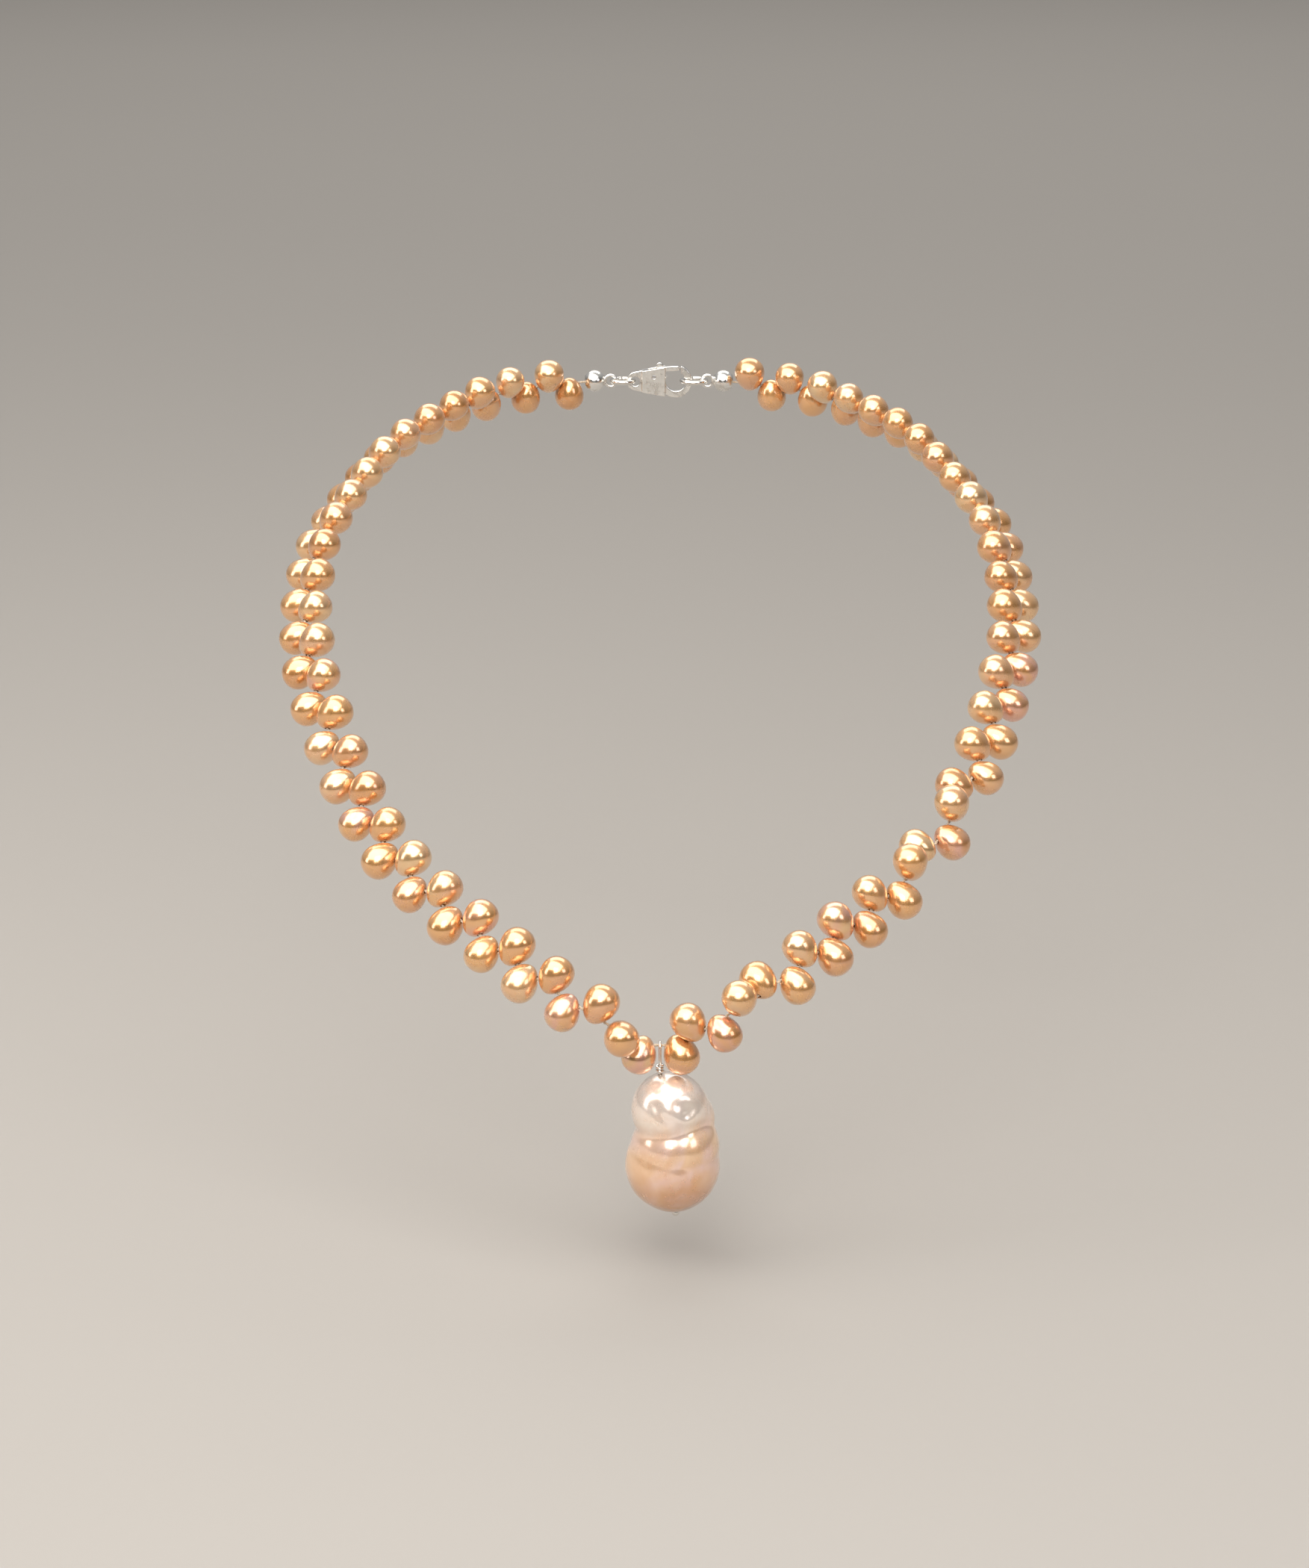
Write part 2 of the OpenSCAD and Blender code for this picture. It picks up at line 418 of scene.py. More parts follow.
def smooth_line(points: Sequence[Vector], step: float) -> list[Vector]:
    """A smooth line through a few points.

    Args:
        points: The points it passes, in metres.
        step: The distance between the points it returns, about.

    Returns:
        A close row of points from the first to the last.
    """
    ends = [points[0] * 2 - points[1], *points, points[-1] * 2 - points[-2]]
    line: list[Vector] = []
    for span in zip(ends, ends[1:], ends[2:], ends[3:]):
        count = max(2, round((span[2] - span[1]).length / step))
        line += [curve_point(span, n / count) for n in range(count)]
    return [*line, points[-1]]


# ---------------------------------------------------------------- the strand's course


@dataclass(frozen=True)
class StrandCourse:
    """The thread's course and the place of each small pearl on it, as the CAD has them."""

    route: tuple[tuple[float, float, float, float], ...] = (
        (0, -144, -70, 12),
        (10, -147, -64, 20),
        (24, -138, -57, 28),
        (40, -122, -48, 38),
        (51, -102, -34, 45),
        (56, -80, -21, 48),
        (53, -55, -11, 48),
        (43, -28, -4, 45),
        (28, -6, -1, 30),
        (11.4, 1.2, 0, 15),
    )
    left_leans: str = "of" + "io" * 25
    right_leans: str = "oiojhoioioiojhojhoi" + "oi" * 17
    neck_y: float = -70.0
    lean: float = 1.9
    left_spacing: float = 5.46
    right_spacing: float = 5.34
    centre_gap: float = 2.6
    slack: float = 0.4
    side_gap: float = 0.6
    same_way: float = 40.0
    first_run: float = 1.5
    last_run: float = 1.0
    tilt: float = 5.0
    tilt_wave: tuple[float, float] = (137.0, 40.0)
    size_middle: float = 0.975
    size_spread: float = 0.025
    size_wave: tuple[float, float] = (97.0, 70.0)
    stretch_ends: tuple[int, ...] = (10, 20, 30)
    span_steps: int = 12

    def leans(self, side: Side) -> list[Lean]:
        """How each pearl of a side leans, from the middle of the front.

        Args:
            side: The half of the strand.

        Returns:
            One lean for each pearl.
        """
        letters = self.left_leans if side is Side.LEFT else self.right_leans
        return [LEAN_LETTERS[letter] for letter in letters]

    @cached_property
    def _samples(self) -> np.ndarray:
        """The route's smooth curve as rows of length so far, x, y, z and slope."""
        route = [np.array(p, float) for p in self.route]
        before = route[1] * np.array([-1, 1, 1, 1])
        points = [before, *route, 2 * route[-1] - route[-2]]
        rows = [
            curve_point(span, n / self.span_steps)
            for span in zip(points, points[1:], points[2:], points[3:])
            for n in range(self.span_steps)
        ]
        table = np.array([*rows, route[-1]])
        gaps = np.linalg.norm(np.diff(table[:, :3], axis=0), axis=1)
        return np.column_stack([np.concatenate([[0.0], np.cumsum(gaps)]), table])

    @property
    def half_length(self) -> float:
        """The thread's length from the front to one bead tip."""
        return float(self._samples[-1, 0])

    def at(self, along: float, side: Side) -> Vector:
        """A point of the thread.

        Args:
            along: The length of thread from the front.
            side: The half of the strand.

        Returns:
            The point in millimetres.
        """
        table = self._samples
        x, y, z = (np.interp(along, table[:, 0], table[:, c]) for c in (1, 2, 3))
        return Vector((side.value * x, y, z))

    def skin_slope(self, along: float) -> float:
        """The slope of the skin under the thread there, in degrees."""
        return float(np.interp(along, self._samples[:, 0], self._samples[:, 4]))

    def stations(self, side: Side) -> list[float]:
        """The length of thread from the front to each pearl of a side.

        Args:
            side: The half of the strand.

        Returns:
            One length for each pearl, in millimetres.
        """
        spacing = self.left_spacing if side is Side.LEFT else self.right_spacing
        leans = self.leans(side)
        found = [self.centre_gap]
        for k, (this, following) in enumerate(zip(leans, leans[1:])):
            half_turn = (following.value - this.value) / 2
            sideways = 2 * self.lean * math.sin(math.radians(half_turn))
            step = math.sqrt(spacing**2 - sideways**2)
            step += self.side_gap if abs(half_turn) < self.same_way else 0
            step += self.slack if k + 1 in self.stretch_ends else 0
            found.append(found[-1] + step)
        return found

    def bends(self, side: Side) -> list[Vector]:
        """The points where the thread bends, midway between pearls.

        Args:
            side: The half of the strand.

        Returns:
            One more point than pearls, from the front to the bead tip.
        """
        stations = self.stations(side)
        middles = [(a + b) / 2 for a, b in zip(stations, stations[1:])]
        return [self.at(s, side) for s in (0.0, *middles, self.half_length)]

    def run(self, side: Side, along: float, half: float) -> list[Vector]:
        """A straight run of thread through a pearl, from one point to another.

        Args:
            side: The half of the strand.
            along: The length of thread from the front to the run's middle.
            half: Half of the run's length.

        Returns:
            Its two ends.
        """
        return [self.at(along - half, side), self.at(along + half, side)]

    def places(self, side: Side) -> list[Matrix]:
        """Each pearl's place: x along the thread, z from the thread into the pearl.

        Args:
            side: The half of the strand.

        Returns:
            One matrix for each pearl, in metres.
        """
        stations, bends, leans = self.stations(side), self.bends(side), self.leans(side)
        last = len(leans) - 1
        found = []
        for k, (s, lean) in enumerate(zip(stations, leans)):
            halves = {0: self.first_run, last: self.last_run}
            if k in halves:
                start, end = self.run(side, s, halves[k])
            else:
                start, end = bends[k], bends[k + 1]
            along = (end - start).normalized()
            middle = (start + end) / 2
            away = Vector((middle.x, middle.y - self.neck_y, 0)).normalized()
            slope = math.radians(self.skin_slope(s))
            up = away * math.cos(slope) + Vector((0, 0, math.sin(slope)))
            skin = (up - along * up.dot(along)).normalized()
            inward = skin.cross(along) * side.value
            tilt = self.tilt * self._sway(side, k, self.tilt_wave)
            turn = math.radians(lean.value + tilt)
            body = inward * math.cos(turn) + skin * math.sin(turn)
            across = body.cross(along)
            turned = Matrix((along, across, body)).transposed().to_4x4()
            found.append(Matrix.Translation(middle * MM) @ turned)
        return found

    def sizes(self, side: Side) -> list[float]:
        """Each pearl's size next to the largest, from the front.

        Args:
            side: The half of the strand.

        Returns:
            One share for each pearl.
        """
        return [
            self.size_middle + self.size_spread * self._sway(side, k, self.size_wave)
            for k in range(len(self.leans(side)))
        ]

    @staticmethod
    def _sway(side: Side, k: int, wave: tuple[float, float]) -> float:
        """A number from -1 to 1 that jumps about from pearl to pearl.

        Args:
            side: The half of the strand.
            k: The pearl's number from the front.
            wave: The angle it turns by at each pearl, and the side's own, in degrees.

        Returns:
            The number.
        """
        return math.sin(math.radians(wave[0] * k + wave[1] * side.value))


# ---------------------------------------------------------------- node building


class NodeBench:
    """Adds nodes to one tree and wires them."""

    def __init__(self, tree: bpy.types.NodeTree) -> None:
        """Starts on a tree.

        Args:
            tree: The node tree to add to.
        """
        self.tree = tree

    def add(self, kind: str, inputs: dict | None = None, **settings: object) -> bpy.types.Node:
        """Adds a node.

        Args:
            kind: The node's type.
            inputs: Socket name or number to a socket to link, or a constant.
            settings: The node's own settings by name.

        Returns:
            The node.
        """
        node = self.tree.nodes.new(kind)
        for name, value in settings.items():
            setattr(node, name, value)
        for key, value in (inputs or {}).items():
            if isinstance(value, bpy.types.NodeSocket):
                self.tree.links.new(value, node.inputs[key])
            else:
                node.inputs[key].default_value = value
        return node

    def maths(self, operation: str, *values: object) -> bpy.types.NodeSocket:
        """A Math node's output.

        Args:
            operation: The sum it does.
            values: Its inputs, sockets or numbers.

        Returns:
            The result's socket.
        """
        node = self.add("ShaderNodeMath", dict(enumerate(values)), operation=operation)
        return node.outputs[0]

    def plus(self, total: object, value: object, share: float) -> bpy.types.NodeSocket:
        """A total with a share of another value added.

        Args:
            total: The total so far.
            value: The value to add.
            share: How much of it is added.

        Returns:
            The new total's socket.
        """
        return self.maths("ADD", total, self.maths("MULTIPLY", value, share))

    def blend(self, factor: object, a: object, b: object) -> bpy.types.NodeSocket:
        """A colour mixed from two.

        Args:
            factor: How much of the second, a socket or a number.
            a: The first colour.
            b: The second colour.

        Returns:
            The mixed colour's socket.
        """
        node = self.add("ShaderNodeMix", {0: factor, 6: a, 7: b}, data_type="RGBA")
        return node.outputs[2]

    def noise(
        self,
        place: object,
        scale: object,
        detail: float = 2.0,
        roughness: float = 0.5,
        distortion: float = 0.0,
    ) -> bpy.types.NodeSocket:
        """Smooth noise from 0 to 1.

        Args:
            place: The vector it is read at.
            scale: Its scale, a socket or a number.
            detail: How many finer octaves it has.
            roughness: How strong they are.
            distortion: How far it is warped.

        Returns:
            The noise's socket.
        """
        node = self.add(
            "ShaderNodeTexNoise",
            {
                "Vector": place,
                "Scale": scale,
                "Detail": detail,
                "Roughness": roughness,
                "Distortion": distortion,
            },
        )
        return node.outputs["Fac"]

    def stretch(
        self,
        value: object,
        low: float,
        high: float,
        to_low: float = 0.0,
        to_high: float = 1.0,
    ) -> bpy.types.NodeSocket:
        """A value spread smoothly from one range to another and held there.

        Args:
            value: The socket to spread.
            low: Where the range starts.
            high: Where it ends.
            to_low: What the start becomes.
            to_high: What the end becomes.

        Returns:
            The spread value's socket.
        """
        node = self.add(
            "ShaderNodeMapRange",
            {"Value": value, 1: low, 2: high, 3: to_low, 4: to_high},
            interpolation_type="SMOOTHSTEP",
        )
        return node.outputs["Result"]


def start_group(
    name: str, inputs: Sequence[tuple[str, str, object]], outputs: Sequence[tuple[str, str]]
) -> tuple[NodeBench, bpy.types.Node, bpy.types.Node]:
    """Starts a shader node group with named sockets.

    Args:
        name: The group's name.
        inputs: Each input's name, kind and default.
        outputs: Each output's name and kind.

    Returns:
        The bench to build on, the group's input node and its output node.
    """
    tree = bpy.data.node_groups.new(name, "ShaderNodeTree")
    for socket, kind, default in inputs:
        made = tree.interface.new_socket(
            name=socket, in_out="INPUT", socket_type=f"NodeSocket{kind}"
        )
        if default is not None:
            made.default_value = default
    for socket, kind in outputs:
        tree.interface.new_socket(
            name=socket, in_out="OUTPUT", socket_type=f"NodeSocket{kind}"
        )
    bench = NodeBench(tree)
    return bench, bench.add("NodeGroupInput"), bench.add("NodeGroupOutput")


def build_nacre_layers() -> bpy.types.NodeTree:
    """The colour, gloss and fine relief of nacre, shared by the small pearls and the drop.

    Returns:
        The node group; its Place is in millimetres on the pearl itself.
    """
    bench, given, result = start_group(
        "nacre_layers",
        [
            ("Place", "Vector", None),
            ("Tone", "Float", 0.5),
            ("Blush", "Float", 0.0),
            ("Pale", "Color", (0.9, 0.65, 0.4, 1)),
            ("Body", "Color", (0.8, 0.45, 0.2, 1)),
            ("Deep", "Color", (0.6, 0.25, 0.1, 1)),
            ("Orient", "Color", (0.8, 0.4, 0.3, 1)),
            ("Cloud scale", "Float", 0.35),
            ("Relief", "Float", 1.0),
        ],
        [("Color", "Color"), ("Roughness", "Float"), ("Height", "Float")],
    )
    take = given.outputs
    clouds = bench.noise(take["Place"], take["Cloud scale"], 3.0, 0.55, 0.6)
    fine = bench.noise(take["Place"], 2.2, 3.0, 0.6)
    # pale to body to deep, by the pearl's tone and the clouding in it; on the drop that tone is
    # partly painted light, paler at the top and deeper at the bottom
    tone = bench.maths("ADD", take["Tone"], bench.maths("MULTIPLY_ADD", clouds, 0.9, -0.45))
    pale_to_body = bench.blend(bench.stretch(tone, 0.0, 0.5), take["Pale"], take["Body"])
    toned = bench.blend(bench.stretch(tone, 0.5, 1.0), pale_to_body, take["Deep"])
    # drifts of the pink overtone, as the layers' thickness changes; on the drop the overtone is
    # partly painted reflection, pinkest across the lower body
    drift_scale = bench.maths("MULTIPLY", take["Cloud scale"], 0.7)
    drift = bench.noise(take["Place"], drift_scale, 2.0, 0.5, 1.2)
    pink = bench.maths(
        "MULTIPLY", bench.stretch(drift, 0.35, 0.72), bench.maths("ADD", take["Blush"], 0.12)
    )
    blushed = bench.blend(bench.maths("MINIMUM", pink, 1.0), toned, take["Orient"])
    mottled = bench.blend(
        bench.maths("MULTIPLY", bench.stretch(fine, 0.38, 0.80), 0.10), blushed, take["Deep"]
    )
    # a few pits, with painted shade darkening their bottoms
    cells = bench.add(
        "ShaderNodeTexVoronoi", {"Vector": take["Place"], "Scale": 0.21, "Randomness": 1.0}
    )
    pits = bench.stretch(cells.outputs["Distance"], 0.018, 0.042, 1.0, 0.0)
    # painted shade: the bottoms of the pits darkened to a dark brown
    pit_painted_shade = bench.blend(bench.maths("MULTIPLY", pits, 0.55), mottled, (0.30, 0.16, 0.08, 1))
    bench.tree.links.new(pit_painted_shade, result.inputs["Color"])
    gloss = bench.maths("MULTIPLY_ADD", bench.stretch(clouds, 0.3, 0.75), 0.09, 0.20)
    gloss = bench.plus(bench.plus(gloss, fine, 0.05), pits, 0.2)
    bench.tree.links.new(gloss, result.inputs["Roughness"])
    # soft hammered relief, faint growth lines round the pearl, and the pits
    hammered = bench.add(
        "ShaderNodeTexVoronoi",
        {"Vector": take["Place"], "Scale": 1.1, "Smoothness": 1.0},
        feature="SMOOTH_F1",
    ).outputs["Distance"]
    growth = bench.add(
        "ShaderNodeTexWave",
        {"Vector": take["Place"], "Scale": 0.55, "Distortion": 2.2, "Detail": 1.0},
        bands_direction="Z",
    ).outputs["Fac"]
    relief = bench.maths("MULTIPLY", hammered, 0.35)
    relief = bench.plus(bench.plus(relief, growth, 0.10), fine, 0.10)
    relief = bench.maths("MULTIPLY", relief, take["Relief"])
    relief = bench.maths("SUBTRACT", relief, bench.maths("MULTIPLY", pits, 0.5))
    bench.tree.links.new(relief, result.inputs["Height"])
    return bench.tree


def build_handling_marks() -> bpy.types.NodeTree:
    """Fine scratches, polish haze and a touch of tarnish, shared by every metal.

    Returns:
        The node group; its Place is in millimetres.
    """
    bench, given, result = start_group(
        "handling_marks",
        [
            ("Place", "Vector", None),
            ("Bright", "Color", (0.9, 0.9, 0.88, 1)),
            ("Tarnish", "Color", (0.5, 0.42, 0.33, 1)),
            ("Tarnish share", "Float", 0.3),
            ("Scratch scale", "Float", 3.0),
            ("Polish", "Float", 0.15),
        ],
        [("Color", "Color"), ("Roughness", "Float"), ("Height", "Float")],
    )
    take = given.outputs
    clouds = bench.noise(take["Place"], 0.5, 4.0, 0.6, 0.4)
    long_way = bench.add(
        "ShaderNodeMapping", {"Vector": take["Place"], "Scale": (0.35, 4.0, 1.6)}
    ).outputs["Vector"]
    cross_way = bench.add(
        "ShaderNodeMapping",
        {"Vector": take["Place"], "Rotation": (0.4, 0.7, 0.9), "Scale": (4.5, 0.4, 1.4)},
    ).outputs["Vector"]
    scratches = bench.maths(
        "MAXIMUM",
        bench.stretch(bench.noise(long_way, take["Scratch scale"], 4.0, 0.7), 0.60, 0.72),
        bench.stretch(bench.noise(cross_way, take["Scratch scale"], 4.0, 0.7), 0.62, 0.74),
    )
    dull = bench.maths("MULTIPLY", bench.stretch(clouds, 0.45, 0.75), take["Tarnish share"])
    bench.tree.links.new(
        bench.blend(dull, take["Bright"], take["Tarnish"]), result.inputs["Color"]
    )
    gloss = bench.plus(bench.plus(take["Polish"], dull, 0.35), scratches, 0.14)
    bench.tree.links.new(gloss, result.inputs["Roughness"])
    relief = bench.maths("SUBTRACT", bench.maths("MULTIPLY", clouds, 0.4), scratches)
    bench.tree.links.new(relief, result.inputs["Height"])
    return bench.tree


def own_millimetres(bench: NodeBench) -> bpy.types.NodeSocket:
    """The object's own coordinates in millimetres.

    Args:
        bench: The material's bench.

    Returns:
        The vector's socket.
    """
    place = bench.add("ShaderNodeTexCoord").outputs["Object"]
    scaled = bench.add("ShaderNodeVectorMath", {0: place, "Scale": 1 / MM}, operation="SCALE")
    return scaled.outputs[0]


def read_attribute(bench: NodeBench, name: str, output: str) -> bpy.types.NodeSocket:
    """A mesh attribute in a material.

    Args:
        bench: The material's bench.
        name: The attribute's name.
        output: Which of the node's outputs.

    Returns:
        The output's socket.
    """
    return bench.add("ShaderNodeAttribute", attribute_name=name).outputs[output]


def start_material(name: str) -> tuple[NodeBench, bpy.types.Material, bpy.types.Node]:
    """An empty material with its shader.

    Args:
        name: The material's name.

    Returns:
        The bench to build on, the material and its Principled shader.
    """
    material = bpy.data.materials.new(name)
    material.use_nodes = True
    bench = NodeBench(material.node_tree)
    return bench, material, material.node_tree.nodes["Principled BSDF"]


def set_inputs(node: bpy.types.Node, values: dict[str, object]) -> None:
    """Gives a node's inputs their constants.

    Args:
        node: The node.
        values: Each input's name and its constant.
    """
    for socket, value in values.items():
        node.inputs[socket].default_value = value


def wire_surface(
    bench: NodeBench,
    shader: bpy.types.Node,
    layers: bpy.types.Node,
    strength: float,
    depth: float,
) -> None:
    """Feeds a group's colour, roughness and height to the shader.

    Args:
        bench: The material's bench.
        shader: The Principled shader.
        layers: The group's node.
        strength: The bump's strength.
        depth: The bump's height in metres.
    """
    links = bench.tree.links
    links.new(layers.outputs["Color"], shader.inputs["Base Color"])
    links.new(layers.outputs["Roughness"], shader.inputs["Roughness"])
    bump = bench.add(
        "ShaderNodeBump",
        {"Height": layers.outputs["Height"], "Strength": strength, "Distance": depth},
    )
    links.new(bump.outputs["Normal"], shader.inputs["Normal"])


@dataclass(frozen=True)
class Nacre:
    """A pearl's finish: layered, softly metallic and translucent."""

    name: str
    pale: Colour
    body: Colour
    deep: Colour
    orient: Colour
    cloud_scale: float
    relief: float
    metallic: float
    ior: float = 1.6
    coat: float = 1.0
    coat_roughness: float = 0.12
    coat_ior: float = 2.1
    sheen: float = 0.1
    sheen_roughness: float = 0.4
    bump_depth: float = 0.03 * MM
    bump_strength: float = 0.5

    def build(self, layers: bpy.types.NodeTree) -> bpy.types.Material:
        """Makes the material.

        Args:
            layers: The nacre group.

        Returns:
            The material.
        """
        bench, material, shader = start_material(self.name)
        sockets = {
            "Place": read_attribute(bench, "nacre_place", "Vector"),
            "Tone": read_attribute(bench, "pearl_tone", "Fac"),
            "Blush": read_attribute(bench, "pearl_blush", "Fac"),
            "Pale": self.pale,
            "Body": self.body,
            "Deep": self.deep,
            "Orient": self.orient,
            "Cloud scale": self.cloud_scale,
            "Relief": self.relief,
        }
        group = bench.add("ShaderNodeGroup", sockets, node_tree=layers)
        wire_surface(bench, shader, group, self.bump_strength, self.bump_depth)
        values = {
            "Metallic": self.metallic,
            "IOR": self.ior,
            "Coat Weight": self.coat,
            "Coat Roughness": self.coat_roughness,
            "Coat IOR": self.coat_ior,
            "Sheen Weight": self.sheen,
            "Sheen Roughness": self.sheen_roughness,
        }
        set_inputs(shader, values)
        return material


@dataclass(frozen=True)
class Metal:
    """A metal finish with handling marks."""

    name: str
    bright: Colour
    tarnish: Colour
    tarnish_share: float
    scratch_scale: float
    polish: float
    bump_depth: float = 0.01 * MM
    bump_strength: float = 0.35

    def build(self, marks: bpy.types.NodeTree) -> bpy.types.Material:
        """Makes the material.

        Args:
            marks: The handling marks group.

        Returns:
            The material.
        """
        bench, material, shader = start_material(self.name)
        sockets = {
            "Place": own_millimetres(bench),
            "Bright": self.bright,
            "Tarnish": self.tarnish,
            "Tarnish share": self.tarnish_share,
            "Scratch scale": self.scratch_scale,
            "Polish": self.polish,
        }
        group = bench.add("ShaderNodeGroup", sockets, node_tree=marks)
        wire_surface(bench, shader, group, self.bump_strength, self.bump_depth)
        set_inputs(shader, {"Metallic": 1.0})
        return material


@dataclass(frozen=True)
class SilkThread:
    """Twisted silk: fine fibres along each ply, a soft sheen and small shade changes."""

    name: str = "silk_thread"
    light: Colour = (0.78, 0.66, 0.50, 1)
    dark: Colour = (0.50, 0.38, 0.26, 1)

    def build(self) -> bpy.types.Material:
        """Makes the material.

        Returns:
            The material.
        """
        bench, material, shader = start_material(self.name)
        place = own_millimetres(bench)
        fibres = bench.noise(place, 14.0, 4.0, 0.7)
        shade = bench.noise(place, 0.8, 2.0)
        mixed = bench.maths("MULTIPLY_ADD", fibres, 0.6, bench.maths("MULTIPLY", shade, 0.5))
        colour = bench.blend(bench.stretch(mixed, 0.35, 0.8), self.dark, self.light)
        links = bench.tree.links
        links.new(colour, shader.inputs["Base Color"])
        links.new(bench.stretch(fibres, 0.2, 0.8, 0.45, 0.7), shader.inputs["Roughness"])
        bump = bench.add(
            "ShaderNodeBump", {"Height": fibres, "Strength": 0.6, "Distance": 0.02 * MM}
        )
        links.new(bump.outputs["Normal"], shader.inputs["Normal"])
        set_inputs(shader, {"Sheen Weight": 0.5})
        return material


SMALL_NACRE = Nacre(
    name="small_nacre",
    pale=(0.91, 0.61, 0.31, 1),
    body=(0.86, 0.45, 0.16, 1),
    deep=(0.70, 0.30, 0.08, 1),
    orient=(0.84, 0.44, 0.32, 1),
    cloud_scale=0.30,
    relief=0.6,
    metallic=0.72,
)
DROP_NACRE = Nacre(
    name="drop_nacre",
    pale=(0.96, 0.86, 0.76, 1),
    body=(0.93, 0.62, 0.38, 1),
    deep=(0.72, 0.35, 0.14, 1),
    orient=(0.93, 0.68, 0.70, 1),
    cloud_scale=0.14,
    relief=0.4,
    metallic=0.45,
)
SILVER_WIRE = Metal(
    name="silver_wire",
    bright=(0.84, 0.82, 0.78, 1),
    tarnish=(0.60, 0.50, 0.38, 1),
    tarnish_share=0.3,
    scratch_scale=2.2,
    polish=0.14,
)
SILVER_CASTING = Metal(
    name="silver_casting",
    bright=(0.91, 0.90, 0.87, 1),
    tarnish=(0.46, 0.40, 0.33, 1),
    tarnish_share=0.45,
    scratch_scale=1.4,
    polish=0.2,
)
SPRING_STEEL = Metal(
    name="spring_steel",
    bright=(0.62, 0.62, 0.63, 1),
    tarnish=(0.36, 0.31, 0.27, 1),
    tarnish_share=0.35,
    scratch_scale=4.5,
    polish=0.3,
)


@dataclass
class Finishes:
    """Every material, built once and handed out by slot."""

    made: dict[Slot, bpy.types.Material] = field(default_factory=dict)

    def build(self) -> None:
        """Builds the node groups and the materials."""
        nacre, marks = build_nacre_layers(), build_handling_marks()
        self.made = {
            Slot.SMALL_NACRE: SMALL_NACRE.build(nacre),
            Slot.DROP_NACRE: DROP_NACRE.build(nacre),
            Slot.SILK_THREAD: SilkThread().build(),
            Slot.SILVER_WIRE: SILVER_WIRE.build(marks),
            Slot.SILVER_CASTING: SILVER_CASTING.build(marks),
            Slot.SPRING_STEEL: SPRING_STEEL.build(marks),
        }

    def dress(self, obj: bpy.types.Object, slot: Slot) -> None:
        """Gives an object one finish all over.

        Args:
            obj: The piece, or a CAD node that is kept.
            slot: The finish.
        """
        obj.data.materials.clear()
        obj.data.materials.append(self.made[slot])


@dataclass
class Maker:
    """What every sub-assembly needs to hand in its pieces."""

    finishes: Finishes
    course: StrandCourse

    def hand_in(
        self, piece: bpy.types.Object, body: str, slot: Slot, stands_for: Sequence[str]
    ) -> None:
        """Dresses a finished piece, hangs it on its body and logs it.

        Args:
            piece: The piece, at the origin.
            body: The CAD body it moves with.
            slot: Its finish.
            stands_for: The CAD nodes it replaces.
        """
        self.finishes.dress(piece, slot)
        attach(piece, body)
        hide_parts(*stands_for)
        log.info("%s on %s: %d faces", piece.name, body, len(piece.data.polygons))


# ---------------------------------------------------------------- small pearls


def write_pearl_facts(
    obj: bpy.types.Object, places: np.ndarray, tones: np.ndarray, blush: np.ndarray
) -> None:
    """Writes what the nacre reads at each vertex.

    Args:
        obj: The pearl.
        places: Each vertex's place on the pearl itself, in millimetres.
        tones: How deep the colour is, from 0 to 1; on the drop it is partly painted light, paler
            at the top and deeper at the bottom.
        blush: How pink the overtone is, from 0 to 1; on the drop it is partly painted reflection,
            pinkest across the lower body.
    """
    mesh = obj.data
    mesh.attributes.new("nacre_place", "FLOAT_VECTOR", "POINT").data.foreach_set(
        "vector", np.asarray(places, np.float32).ravel()
    )
    for name, values in (("pearl_tone", tones), ("pearl_blush", blush)):
        mesh.attributes.new(name, "FLOAT", "POINT").data.foreach_set(
            "value", np.asarray(values, np.float32)
        )


def vertex_places(obj: bpy.types.Object) -> np.ndarray:
    """The vertices' places as rows.

    Args:
        obj: A mesh object.

    Returns:
        One row of three numbers for each vertex.
    """
    co = np.zeros(len(obj.data.vertices) * 3, np.float32)
    obj.data.vertices.foreach_get("co", co)
    return co.reshape(-1, 3).astype(float)


